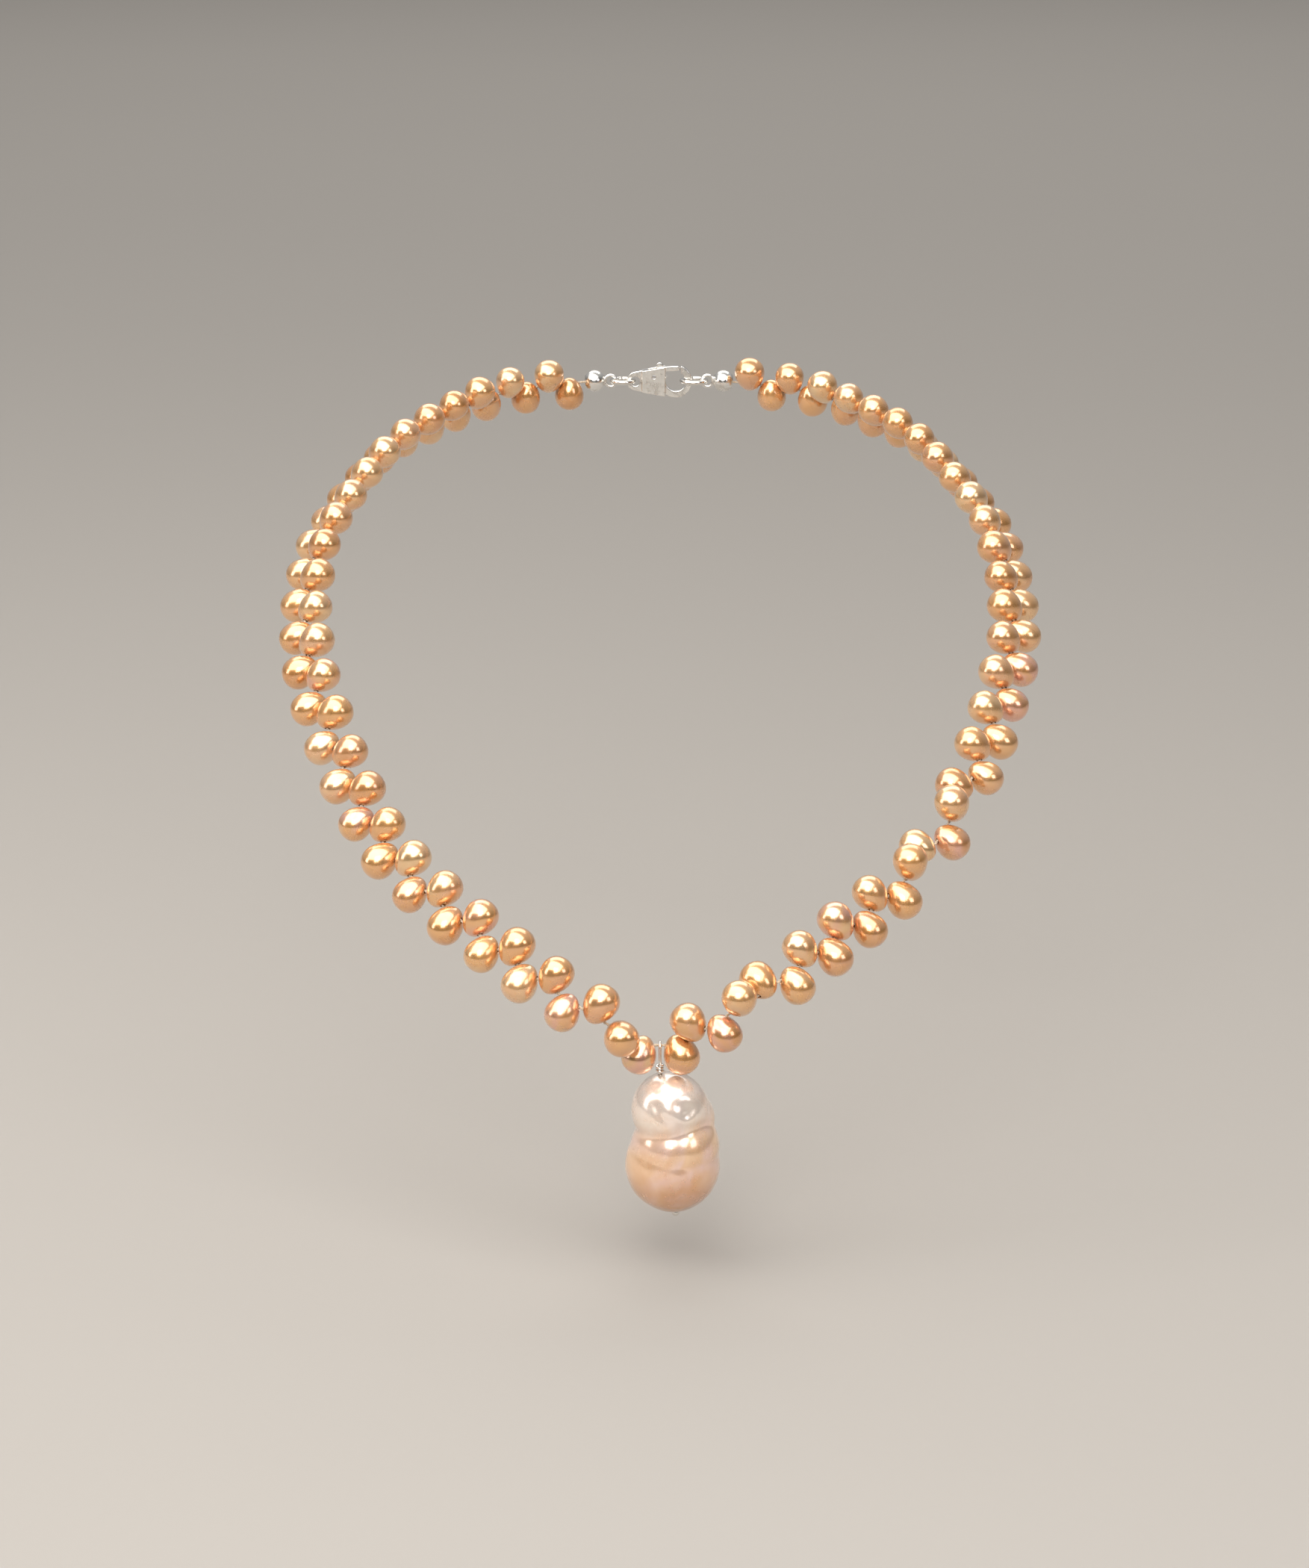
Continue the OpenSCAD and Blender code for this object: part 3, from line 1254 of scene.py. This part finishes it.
@dataclass
class SmallPearls:
    """Every small pearl: one drilled egg, copied, toned and slightly wrinkled."""

    maker: Maker
    radius: float = 2.6
    half: float = 3.05
    taper: float = 0.17
    drill: float = 0.4
    segments: int = 44
    rings: int = 30
    wrinkle_size: float = 2.6
    wrinkle_depth: float = 0.055
    tone_middle: float = 0.45
    tone_spread: float = 0.22
    tone_drift: float = 0.08
    pink_share: float = 0.85
    faint_pink: float = 0.12
    hinged: int = 10
    stretches: tuple[tuple[str, int, int, str], ...] = (
        ("chest", 10, 20, "chest"),
        ("shoulder", 20, 30, "shoulder"),
        ("neck", 30, 41, "nape"),
        ("nape", 41, 99, "nape"),
    )
    pink_pearls: dict[Side, tuple[int, ...]] = field(
        default_factory=lambda: {Side.LEFT: (0, 3, 8, 15, 22), Side.RIGHT: (2, 8, 14, 21, 23)}
    )

    def build(self) -> None:
        """Models the egg once and lays a copy at every place."""
        egg = self._egg()
        wrinkles = wrinkle_texture("pearl_wrinkles", self.wrinkle_size * MM)
        for side in Side:
            places = self.maker.course.places(side)
            sizes = self.maker.course.sizes(side)
            laid = [
                self._lay(egg, side, k, place, size)
                for k, (place, size) in enumerate(zip(places, sizes))
            ]
            for k in range(self.hinged):
                name = f"pearl_{side.word}_{k + 1}"
                self._finish(f"nacre_{side.word}_{k + 1}", [laid[k]], name, name, wrinkles)
            for word, first, past, body in self.stretches:
                self._finish(
                    f"nacre_{side.word}_{word}",
                    laid[first:past],
                    body,
                    f"pearls_{side.word}_{word}",
                    wrinkles,
                )
        bpy.data.objects.remove(egg)

    def _egg(self) -> bpy.types.Object:
        """The egg, its drilled hole along X through the origin, its wide end up.

        Returns:
            The master object.
        """
        half = self.half * MM
        egg = add_shape(
            bpy.ops.mesh.primitive_uv_sphere_add,
            segments=self.segments,
            ring_count=self.rings,
            radius=half,
        )
        slim = self.radius / self.half
        with editing(egg):
            for ring in range(1, self.rings):
                height = -half * math.cos(math.pi * ring / self.rings)
                pick_vertices(egg, lambda co: abs(co.z - height) < 1e-6)
                share = slim * (1 + self.taper * height / half)
                bpy.ops.transform.resize(value=(share, share, 1))
        drill = add_shape(
            bpy.ops.mesh.primitive_cylinder_add,
            vertices=20,
            radius=self.drill * MM,
            depth=4 * self.radius * MM,
            location=(0, 0, -self.maker.course.lean * MM),
            rotation=(0, math.pi / 2, 0),
        )
        combine(egg, drill, "DIFFERENCE")
        smooth_by_angle(egg, 40)
        return egg

    def _lay(
        self, egg: bpy.types.Object, side: Side, k: int, place: Matrix, size: float
    ) -> bpy.types.Object:
        """One pearl, copied with its own mesh and laid in its place.

        Args:
            egg: The master.
            side: The half of the strand.
            k: The pearl's number from the front.
            place: Its place, thread along x.
            size: Its size next to the largest.

        Returns:
            The pearl as an object at the origin.
        """
        pearl = new_object(f"egg_{side.word}_{k}", egg.data.copy())
        # each pearl reads the noise somewhere else and has a tone of its own
        seed = 57 * k + 31 * side.value
        own = vertex_places(pearl) / MM + np.array([7.0 * (seed % 13), 5.0 * (seed % 7), 0.0])
        tone = self.tone_middle + self.tone_spread * math.sin(1.7 * seed)
        tone += self.tone_drift * math.sin(0.9 * k)
        pink = self.faint_pink + self.faint_pink * math.sin(2.3 * seed)
        if k in self.pink_pearls[side]:
            pink = self.pink_share
        count = len(own)
        write_pearl_facts(pearl, own, np.full(count, tone), np.full(count, pink))
        lift = Matrix.Translation((0, 0, self.maker.course.lean * MM))
        pearl.data.transform(place @ lift @ Matrix.Scale(size, 4))
        return pearl

    def _finish(
        self,
        name: str,
        pearls: list[bpy.types.Object],
        body: str,
        node: str,
        wrinkles: bpy.types.Texture,
    ) -> None:
        """Joins the pearls of one CAD node, wrinkles them and hands them in.

        Args:
            name: The piece's name.
            pearls: The laid pearls.
            body: The CAD body they move with.
            node: The CAD node they stand for.
            wrinkles: The texture of their uneven skin.
        """
        piece = join(name, pearls)
        wrinkle(piece, wrinkles, self.wrinkle_depth * MM)
        self.maker.hand_in(piece, body, Slot.SMALL_NACRE, [node])


# ---------------------------------------------------------------- the drop


@dataclass(frozen=True)
class Furrow:
    """A fold or dimple in the drop's front, as a line of (x, z) points."""

    line: tuple[tuple[float, float], ...]
    width: float
    depth: float

    def fall(self, x: np.ndarray, z: np.ndarray) -> np.ndarray:
        """How deep the furrow is at each point.

        Args:
            x: The points' x in the drop's own frame, in millimetres.
            z: Their z.

        Returns:
            The depth at each, in millimetres.
        """
        nearest = np.full(len(x), 1e9)
        starts = self.line if len(self.line) > 1 else self.line * 2
        for (ax, az), (bx, bz) in zip(starts, starts[1:]):
            dx, dz = bx - ax, bz - az
            along = ((x - ax) * dx + (z - az) * dz) / max(dx * dx + dz * dz, 1e-9)
            along = np.clip(along, 0, 1)
            nearest = np.minimum(
                nearest, np.hypot(x - ax - along * dx, z - az - along * dz)
            )
        return self.depth * np.exp(-((nearest / self.width) ** 2))


@dataclass
class BaroqueDrop:
    """The baroque pearl and the headpin it hangs on."""

    maker: Maker
    front: Vector = field(default_factory=lambda: Vector((0, -144, -70)))
    top: float = 4.318
    lean_degrees: float = 6.0
    height: float = 21.5
    bore: float = 0.34
    lobes: tuple[tuple[tuple[float, float, float], tuple[float, float, float]], ...] = (
        ((0.9, 0.0, -6.0), (5.75, 5.7, 6.0)),
        ((1.6, 0.7, -7.6), (5.7, 4.9, 5.4)),
        ((1.0, 0.0, -11.6), (6.6, 6.6, 6.2)),
        ((0.35, 0.0, -14.4), (7.0, 6.85, 7.05)),
    )
    furrows: tuple[Furrow, ...] = (
        Furrow(((-0.9, -3.4), (-0.5, -4.6), (0.3, -5.4)), 0.8, 0.22),
        Furrow(((2.2, -3.4), (3.4, -3.6), (4.3, -4.4), (3.6, -5.2)), 0.8, 0.20),
        Furrow(((3.2, -4.6),), 1.0, 0.28),
        Furrow(((2.4, -6.9), (4.4, -7.2), (6.4, -8.0)), 0.9, 0.24),
        Furrow(((2.3, -8.6), (2.0, -10.4), (1.8, -12.2)), 1.1, 0.16),
    )
    notch: tuple[float, float, float] = (-5.0, 0.0, -8.2)
    notch_size: tuple[float, float, float] = (1.5, 4.0, 1.1)
    notch_depth: float = 0.12
    front_edge: float = 0.6
    front_fade: float = 2.4
    skin_voxel: float = 0.24
    skin_rounding: int = 26
    lump_size: float = 5.5
    lump_depth: float = 0.22
    # the drop's colour depth from top to bottom: partly its own colour, partly painted light,
    # paler at the top and deeper at the bottom
    tone_down: tuple[tuple[float, float], ...] = (
        (0, 0.05),
        (0.26, 0.16),
        (0.42, 0.52),
        (0.70, 0.80),
        (1.0, 1.15),
    )
    # the drop's pink overtone from top to bottom: partly its own, partly a painted reflection of
    # the lamps, pinkest across the lower body
    blush_down: tuple[tuple[float, float], ...] = (
        (0, 0.05),
        (0.3, 0.2),
        (0.5, 0.62),
        (0.75, 0.35),
        (1.0, 0.05),
    )
    wire: float = 0.2
    loop_r: float = 0.75
    loop_drop: float = 0.22
    loop_straight: float = 1.6
    wraps_top: float = 2.98
    wrap_r: float = 0.42
    wrap_pitch: float = 0.42
    wrap_turns: float = 2.6
    ball: float = 0.6
    ball_drop: float = 0.52

    @property
    def hang(self) -> Matrix:
        """Puts the drop's own frame, z down from its top, into the necklace's, in metres."""
        place = (self.front - Vector((0, 0, self.top))) * MM
        turn = Matrix.Rotation(math.radians(-self.lean_degrees), 4, "Y")
        return Matrix.Translation(place) @ turn @ Matrix.Scale(MM, 4)

    def build(self) -> None:
        """Makes the pearl and its headpin."""
        self.maker.hand_in(self._pearl(), "drop", Slot.DROP_NACRE, ["drop_pearl"])
        self.maker.hand_in(self._headpin(), "drop_wire", Slot.SILVER_WIRE, ["drop_headpin"])

    def _pearl(self) -> bpy.types.Object:
        """The pearl: four lobes grown together, folded and drilled, in millimetres until laid.

        Returns:
            The pearl at the origin.
        """
        lobes = [
            add_shape(
                bpy.ops.mesh.primitive_uv_sphere_add,
                segments=64,
                ring_count=40,
                radius=1,
                location=middle,
                scale=radii,
            )
            for middle, radii in self.lobes
        ]
        pearl = join("nacre_drop", lobes)
        finish_modifier(pearl, "REMESH", mode="VOXEL", voxel_size=self.skin_voxel)
        finish_modifier(pearl, "SMOOTH", factor=0.5, iterations=self.skin_rounding)
        self._fold(pearl)
        wrinkle(pearl, wrinkle_texture("drop_lumps", self.lump_size), self.lump_depth)
        finish_modifier(pearl, "SUBSURF", levels=1, render_levels=1)
        self._drill(pearl)
        own = vertex_places(pearl)
        down = np.clip(-own[:, 2] / self.height, 0, 1)
        # painted light: the tone makes the drop paler at the top and deeper at the bottom, over
        # its own colour
        tones = np.interp(down, *zip(*self.tone_down))
        # painted reflection: the pink is strongest across the lower body, over the nacre's own
        # overtone
        blush = np.interp(down, *zip(*self.blush_down))
        write_pearl_facts(pearl, own, tones, blush)
        pearl.data.transform(self.hang)
        smooth_by_angle(pearl, 45)
        return pearl

    def _fold(self, pearl: bpy.types.Object) -> None:
        """Presses the furrows and the notch into the pearl's skin.

        Args:
            pearl: The smooth pearl, in its own frame.
        """
        places = vertex_places(pearl)
        normals = np.zeros(len(pearl.data.vertices) * 3, np.float32)
        pearl.data.vertices.foreach_get("normal", normals)
        normals = normals.reshape(-1, 3).astype(float)
        facing = np.clip((self.front_edge - places[:, 1]) / self.front_fade, 0, 1)
        sink = np.zeros(len(places))
        for furrow in self.furrows:
            sink += furrow.fall(places[:, 0], places[:, 2]) * facing
        off = (places - np.array(self.notch)) / np.array(self.notch_size)
        sink += self.notch_depth * np.exp(-(off**2).sum(1))
        places -= normals * sink[:, None]
        pearl.data.vertices.foreach_set("co", places.astype(np.float32).ravel())
        pearl.data.update()
        finish_modifier(pearl, "SMOOTH", factor=0.5, iterations=3)

    def _drill(self, pearl: bpy.types.Object) -> None:
        """Drills the headpin's hole down the pearl.

        Args:
            pearl: The folded pearl, in its own frame.
        """
        drill = add_shape(
            bpy.ops.mesh.primitive_cylinder_add,
            vertices=32,
            radius=self.bore,
            depth=self.height + 4,
            location=(0, 0, -self.height / 2),
        )
        combine(pearl, drill, "DIFFERENCE")

    def _headpin(self) -> bpy.types.Object:
        """The headpin: ball, stem, long loop over the thread and loose wraps with a cut end.

        Returns:
            The headpin at the origin.
        """
        front, r = self.front, self.loop_r
        stem = [self.hang @ Vector((0, 0, -self.height - 0.2 + 1.0 * n)) for n in range(21)]
        bend = (front - Vector((0, 0, self.top))) * MM
        rise = [
            Vector((0, 0, -3.6)),
            Vector((0, 0, -3.0)),
            Vector((0, 0.28, -2.62)),
            Vector((0, 0.66, -2.25)),
        ]
        over = [
            Vector((0, r * math.cos(a), -self.loop_drop + r * math.sin(a)))
            for a in (math.radians(d) for d in range(0, 181, 20))
        ]
        sides_up = [Vector((0, r, -self.loop_drop - s)) for s in (1.3, 0.7)]
        sides_down = [Vector((0, -r, -self.loop_drop - s)) for s in (0.7, 1.3)]
        fall = [Vector((0.02, -0.62, -2.3)), Vector((0.10, -0.42, -2.7))]
        turns = 40
        wraps = []
        for n in range(round(turns * self.wrap_turns) + 1):
            angle = -math.pi / 2 + 2 * math.pi * n / turns
            spread = self.wrap_r + 0.05 * math.sin(0.7 * angle)
            wraps.append(
                Vector(
                    (
                        spread * math.cos(angle),
                        spread * math.sin(angle),
                        -self.wraps_top
                        - self.wrap_pitch * n / turns
                        + 0.07 * math.sin(angle + 0.6),
                    )
                )
            )
        tail = wraps[-1] + (wraps[-1] - wraps[-4]) * 1.6
        upper = [front + p for p in (*rise, *sides_up, *over, *sides_down, *fall, *wraps, tail)]
        route = [*stem, bend, *[p * MM for p in upper]]
        line = smooth_line(route, 0.12 * MM)
        pin = wire_along("headpin_wire", [line], self.wire * MM, 14)
        ball = add_shape(
            bpy.ops.mesh.primitive_uv_sphere_add,
            segments=28,
            ring_count=18,
            radius=self.ball * MM,
            location=self.hang @ Vector((0, 0, -self.height - self.ball_drop)),
        )
        smooth_by_angle(ball, 40)
        combine(pin, ball, "UNION")
        rename(pin, "headpin")
        smooth_by_angle(pin, 50)
        return pin


# ---------------------------------------------------------------- the thread


@dataclass
class BeadingThread:
    """The silk thread: two plies twisted together, in the CAD's four stretches."""

    maker: Maker
    ply: float = 0.115
    offset: float = 0.10
    pitch: float = 1.25
    end_gap: float = 0.175
    sample: float = 0.09
    softening: int = 10
    knot_points: int = 61
    knot: float = 0.42
    knot_ply: float = 0.16
    stretches: tuple[tuple[str, int, int], ...] = (
        ("chest", 10, 20),
        ("shoulder", 20, 30),
        ("nape", 30, 99),
    )

    def build(self) -> None:
        """Makes each stretch on both sides, and the knots at the ends."""
        left, right = (self._cut(side, 0, 10) for side in Side)
        self._stretch("front", [[*reversed(left), *right[1:]]])
        for word, first, past in self.stretches:
            self._stretch(word, [self._cut(side, first, past) for side in Side])

    def _cut(self, side: Side, first: int, last: int) -> list[Vector]:
        """The bends of one stretch, its ends cut short where it meets another.

        Args:
            side: The half of the strand.
            first: The first bend's number.
            last: The last one's, or more than there are.

        Returns:
            The stretch's points in millimetres.
        """
        course = self.maker.course
        bends = course.bends(side)
        run = [p.copy() for p in bends[first : last + 1]]
        if first == 0:
            run[1:1] = course.run(side, course.centre_gap, course.first_run)
        else:
            run[0] += (run[1] - run[0]).normalized() * self.end_gap
        if last < len(bends) - 1:
            run[-1] += (run[-2] - run[-1]).normalized() * self.end_gap
        return run

    def _stretch(self, word: str, runs: list[list[Vector]]) -> None:
        """Twists two plies along each run and hands the stretch in.

        Args:
            word: The stretch's name.
            runs: Its lines in millimetres.
        """
        plies = [line for run in runs for line in self._plies(run)]
        parts = [wire_along(f"silk_{word}", plies, self.ply * MM, 6)]
        if word == "nape":
            knots = [self._knot_line(run[-1]) for run in runs]
            parts.append(wire_along("silk_knots", knots, self.knot_ply * MM, 10))
        piece = join(f"silk_{word}", parts)
        self.maker.hand_in(piece, word, Slot.SILK_THREAD, [f"thread_{word}"])

    def _plies(self, run: list[Vector]) -> list[list[Vector]]:
        """The two plies along one line.

        Args:
            run: The line's bends in millimetres.

        Returns:
            Two close rows of points in metres.
        """
        points = []
        for a, b in zip(run, run[1:]):
            count = max(2, round((b - a).length / self.sample))
            points += [a.lerp(b, n / count) for n in range(count)]
        points.append(run[-1])
        co = np.array([list(p) for p in points])
        for _ in range(self.softening):
            co[1:-1] = (co[:-2] + co[1:-1] * 2 + co[2:]) / 4
        heading = np.gradient(co, axis=0)
        heading /= np.linalg.norm(heading, axis=1)[:, None]
        level = np.cross([0, 0, 1], heading)
        level /= np.linalg.norm(level, axis=1)[:, None]
        upright = np.cross(heading, level)
        length = np.concatenate([[0], np.cumsum(np.linalg.norm(np.diff(co, axis=0), axis=1))])
        turn = 2 * np.pi * length / self.pitch
        swing = self.offset * (
            np.cos(turn)[:, None] * level + np.sin(turn)[:, None] * upright
        )
        return [[Vector(p) * MM for p in co + sign * swing] for sign in (1, -1)]

    def _knot_line(self, middle: Vector) -> list[Vector]:
        """An overhand knot's line.

        Args:
            middle: Its middle in millimetres.

        Returns:
            A close row of points in metres.
        """
        line = []
        for n in range(self.knot_points):
            t = 2 * math.pi * n / self.knot_points
            line.append(
                Vector(
                    (
                        math.sin(t) + 2 * math.sin(2 * t),
                        math.cos(t) - 2 * math.cos(2 * t),
                        -1.1 * math.sin(3 * t),
                    )
                )
            )
        share = self.knot / 3
        return [(middle + p * share) * MM for p in line]


# ---------------------------------------------------------------- fittings behind the neck


@dataclass
class NapeFittings:
    """Bead tips, jump rings and the lobster clasp."""

    maker: Maker
    middle_y: float = 1.2
    cup_x: float = 11.4
    cup_r: float = 1.88
    cup_wall: float = 0.34
    cup_mouth: float = 0.72
    seam: float = 0.09
    loop_x: float = 8.55
    loop_r: float = 1.0
    loop_wire: float = 0.28
    ring_wire: float = 0.4
    left_ring: tuple[float, float] = (-6.4, 1.9)
    right_ring: tuple[float, float] = (6.15, 2.15)
    ring_arc: float = 354.0
    pivot: tuple[float, float] = (-0.9, 0.9)
    pin_r: float = 0.35
    pin_half: float = 1.15
    casting_voxel: float = 0.075
    casting_rounding: int = 5

    def build(self) -> None:
        """Makes every fitting."""
        for side in Side:
            self.maker.hand_in(
                self._bead_tip(side), "nape", Slot.SILVER_CASTING, [f"bead_tip_{side.word}"]
            )
        for side, (x, radius) in ((Side.LEFT, self.left_ring), (Side.RIGHT, self.right_ring)):
            self.maker.hand_in(
                self._jump_ring(side, x, radius),
                f"ring_{side.word}",
                Slot.SILVER_WIRE,
                [f"jump_ring_{side.word}"],
            )
        for node, body in (("clasp_body", "nape"), ("clasp_lever", "lever")):
            self.maker.hand_in(self._casting(node), body, Slot.SILVER_CASTING, [node])
        self.maker.hand_in(self._pin(), "nape", Slot.SPRING_STEEL, ["clasp_pin"])
        self.maker.finishes.dress(frame["nodes"]["clasp_spring"], Slot.SPRING_STEEL)

    def _bead_tip(self, side: Side) -> bpy.types.Object:
        """A folded cup with a seam round it, a mouth for the thread and a loop.

        Args:
            side: The half of the strand.

        Returns:
            The bead tip at the origin.
        """
        x, radius = side.value * self.cup_x * MM, self.cup_r * MM
        y = self.middle_y * MM
        cup = add_shape(
            bpy.ops.mesh.primitive_uv_sphere_add,
            segments=56,
            ring_count=28,
            radius=radius,
            rotation=(0, math.pi / 2, 0),
        )
        with editing(cup):
            mouth = self.cup_mouth * MM
            pick_faces(
                cup, lambda co: co.x * side.value > 0 and math.hypot(co.y, co.z) < mouth
            )
            bpy.ops.mesh.delete(type="FACE")
        with editing(cup):
            seam = self.seam * MM
            for offset in (-2 * seam, -seam, seam, 2 * seam):
                bpy.ops.mesh.select_all(action="SELECT")
                bpy.ops.mesh.bisect(plane_co=(0, offset, 0), plane_no=(0, 1, 0))
            pick_vertices(cup, lambda co: abs(co.y) < seam * 1.2)
            bpy.ops.transform.resize(value=(0.95, 1, 0.95), center_override=(0, 0, 0))
        finish_modifier(cup, "SOLIDIFY", thickness=self.cup_wall * MM, offset=-1)
        bevel(cup, 0.05, 2, 0.7)
        cup.data.transform(Matrix.Translation((x, y, 0)))
        loop = add_shape(
            bpy.ops.mesh.primitive_torus_add,
            major_radius=self.loop_r * MM,
            minor_radius=self.loop_wire * MM,
            major_segments=56,
            minor_segments=16,
            location=(side.value * self.loop_x * MM, y, 0),
            rotation=(math.pi / 2, 0, 0),
        )
        recalculate_outside(cup)
        combine(cup, loop, "UNION")
        rename(cup, f"clamshell_{side.word}")
        smooth_by_angle(cup, 35)
        return cup

    def _jump_ring(self, side: Side, x: float, radius: float) -> bpy.types.Object:
        """A ring bent from round wire, its cut ends a hair apart.

        Args:
            side: The half of the strand.
            x: The middle of the ring.
            radius: Its radius to the middle of the wire.

        Returns:
            The ring at the origin.
        """
        y = self.middle_y * MM
        start = math.radians(93)
        reach = Vector((math.cos(start), math.sin(start), 0)) * radius * MM
        middle = Vector((x * MM, y, 0))
        ring = add_shape(
            bpy.ops.mesh.primitive_circle_add,
            vertices=20,
            radius=self.ring_wire * MM,
            fill_type="NGON",
            location=middle + reach,
            rotation=(math.pi / 2, 0, start),
        )
        with editing(ring):
            bpy.ops.mesh.select_all(action="SELECT")
            bpy.ops.mesh.spin(
                steps=90,
                angle=math.radians(self.ring_arc),
                center=middle,
                axis=(0, 0, 1),
                dupli=False,
            )
        recalculate_outside(ring)
        self._close_ends(ring)
        bevel(ring, 0.06, 2, 0.8)
        rename(ring, f"split_ring_{side.word}")
        smooth_by_angle(ring, 40)
        return ring

    def _close_ends(self, obj: bpy.types.Object) -> None:
        """Caps any open end of a mesh.

        Args:
            obj: The mesh object.
        """
        with editing(obj):
            bpy.ops.mesh.select_all(action="DESELECT")
            bpy.ops.mesh.select_mode(type="EDGE")
            bpy.ops.mesh.select_non_manifold(use_multi_face=False, use_verts=False)
            mesh = bmesh.from_edit_mesh(obj.data)
            if any(edge.select for edge in mesh.edges):
                bpy.ops.mesh.edge_face_add()
            bpy.ops.mesh.select_all(action="SELECT")
            bpy.ops.mesh.normals_make_consistent(inside=False)

    def _casting(self, node: str) -> bpy.types.Object:
        """A CAD casting's copy with its edges worn round, as tumbling leaves them.

        Args:
            node: The CAD node.

        Returns:
            The casting at the origin.
        """
        source = frame["nodes"][node]
        cast = new_object(f"{node}_cast", source.data.copy())
        recalculate_outside(cast)
        cast.data.transform(Matrix.Scale(1 / MM, 4))
        finish_modifier(cast, "REMESH", mode="VOXEL", voxel_size=self.casting_voxel)
        finish_modifier(cast, "SMOOTH", factor=0.5, iterations=self.casting_rounding)
        cast.data.transform(Matrix.Scale(MM, 4))
        make_active(cast)
        bpy.ops.object.shade_smooth()
        return cast

    def _pin(self) -> bpy.types.Object:
        """The lever's pivot pin, its ends peened to low domes.

        Returns:
            The pin at the origin.
        """
        pin = add_shape(
            bpy.ops.mesh.primitive_cylinder_add,
            vertices=40,
            radius=self.pin_r * MM,
            depth=2 * self.pin_half * MM,
            location=(self.pivot[0] * MM, self.middle_y * MM, self.pivot[1] * MM),
            rotation=(math.pi / 2, 0, 0),
        )
        rename(pin, "pivot_pin")
        bevel(pin, 0.12, 4, 0.8)
        smooth_by_angle(pin, 30)
        return pin


# ---------------------------------------------------------------- studio


@dataclass(frozen=True)
class Softbox:
    """A soft rectangular lamp."""

    name: str
    place: tuple[float, float, float]
    aim: tuple[float, float, float]
    size: tuple[float, float]
    watts: float
    tint: tuple[float, float, float]

    def build(self) -> None:
        """Hangs the lamp."""
        data = bpy.data.lights.new(self.name, "AREA")
        data.shape = "RECTANGLE"
        data.size, data.size_y = self.size
        data.energy = self.watts
        data.color = self.tint
        lamp = new_object(self.name, data)
        lamp.location = self.place
        towards = Vector(self.aim) - Vector(self.place)
        lamp.rotation_euler = towards.to_track_quat("-Z", "Y").to_euler()


@dataclass
class Studio:
    """A pale floor, soft lamps and the camera."""

    floor_z: float = -0.104
    floor_half: float = 4.0
    floor_colour: Colour = (0.36, 0.34, 0.315, 1)
    floor_shade: Colour = (0.28, 0.265, 0.25, 1)
    sky_colour: Colour = (1.0, 0.98, 0.96, 1)
    sky_strength: tuple[float, float] = (0.02, 0.42)
    camera_place: tuple[float, float, float] = (-0.0008, -0.6588, 0.1272)
    camera_pitch: float = 73.0
    camera_lens: float = 86.74
    softboxes: tuple[Softbox, ...] = (
        Softbox(
            "overhead", (-0.15, -0.36, 0.50), (0, -0.10, -0.05), (1.2, 0.75), 8.5, (1, 0.97, 0.93)
        ),
        Softbox(
            "front_window",
            (-0.12, -0.72, 0.36),
            (0, -0.13, -0.06),
            (0.34, 0.40),
            1.6,
            (1, 0.98, 0.95),
        ),
        Softbox("backdrop_wash", (0, 1.3, 1.3), (0, 1.1, -0.1), (2.0, 1.4), 16.0, (1, 0.98, 0.96)),
        Softbox(
            "right_fill",
            (0.42, -0.50, 0.22),
            (0, -0.13, -0.06),
            (0.22, 0.22),
            0.45,
            (1, 0.94, 0.97),
        ),
        Softbox(
            "left_fill",
            (-0.60, -0.26, 0.12),
            (0, -0.12, -0.06),
            (0.20, 0.24),
            0.45,
            (1, 0.94, 0.97),
        ),
    )

    def build(self) -> None:
        """Lays the floor, hangs the lamps and sets the camera."""
        self._floor()
        for softbox in self.softboxes:
            softbox.build()
        self._sky()
        self._camera()
        bpy.context.scene.view_settings.view_transform = "Standard"

    def _floor(self) -> None:
        """The floor, with a faint uneven tone."""
        bpy.ops.mesh.primitive_plane_add(size=2 * self.floor_half, location=(0, 0, self.floor_z))
        floor = bpy.context.view_layer.objects.active
        floor.name = "floor"
        bench, material, shader = start_material("pale_floor")
        place = bench.add("ShaderNodeTexCoord").outputs["Object"]
        tone = bench.maths("MULTIPLY", bench.noise(place, 3.0, 3.0), 0.12)
        colour = bench.blend(tone, self.floor_colour, self.floor_shade)
        bench.tree.links.new(colour, shader.inputs["Base Color"])
        set_inputs(shader, {"Roughness": 0.9, "Specular IOR Level": 0.1})
        floor.data.materials.append(material)

    def _sky(self) -> None:
        """Soft light from above and behind, falling to a dim room in front."""
        world = bpy.data.worlds.new("studio_room")
        bpy.context.scene.world = world
        world.use_nodes = True
        bench = NodeBench(world.node_tree)
        background = world.node_tree.nodes["Background"]
        place = bench.add("ShaderNodeTexCoord").outputs["Generated"]
        part = bench.add("ShaderNodeSeparateXYZ", {"Vector": place}).outputs
        lean = bench.maths("MULTIPLY_ADD", part["Y"], 0.6, part["Z"])
        glow = bench.stretch(lean, -0.1, 1.0, *self.sky_strength)
        bench.tree.links.new(glow, background.inputs["Strength"])
        set_inputs(background, {"Color": self.sky_colour})

    def _camera(self) -> None:
        """The camera, in front and a little above, looking down on the strand."""
        data = bpy.data.cameras.new("camera")
        data.lens = self.camera_lens
        data.sensor_width = 36.0
        data.clip_start = 0.01
        camera = new_object("camera", data)
        camera.location = self.camera_place
        camera.rotation_euler = (math.radians(self.camera_pitch), 0, 0)
        bpy.context.scene.camera = camera


def main() -> None:
    """Builds the finishes, then each sub-assembly, then the studio."""
    logging.basicConfig(level=logging.INFO, format="%(name)s: %(message)s")
    finishes = Finishes()
    finishes.build()
    maker = Maker(finishes, StrandCourse())
    for assembly in (
        SmallPearls(maker),
        BaroqueDrop(maker),
        BeadingThread(maker),
        NapeFittings(maker),
    ):
        log.info("building %s", type(assembly).__name__)
        assembly.build()
    Studio().build()


if __name__ == "__main__":
    main()
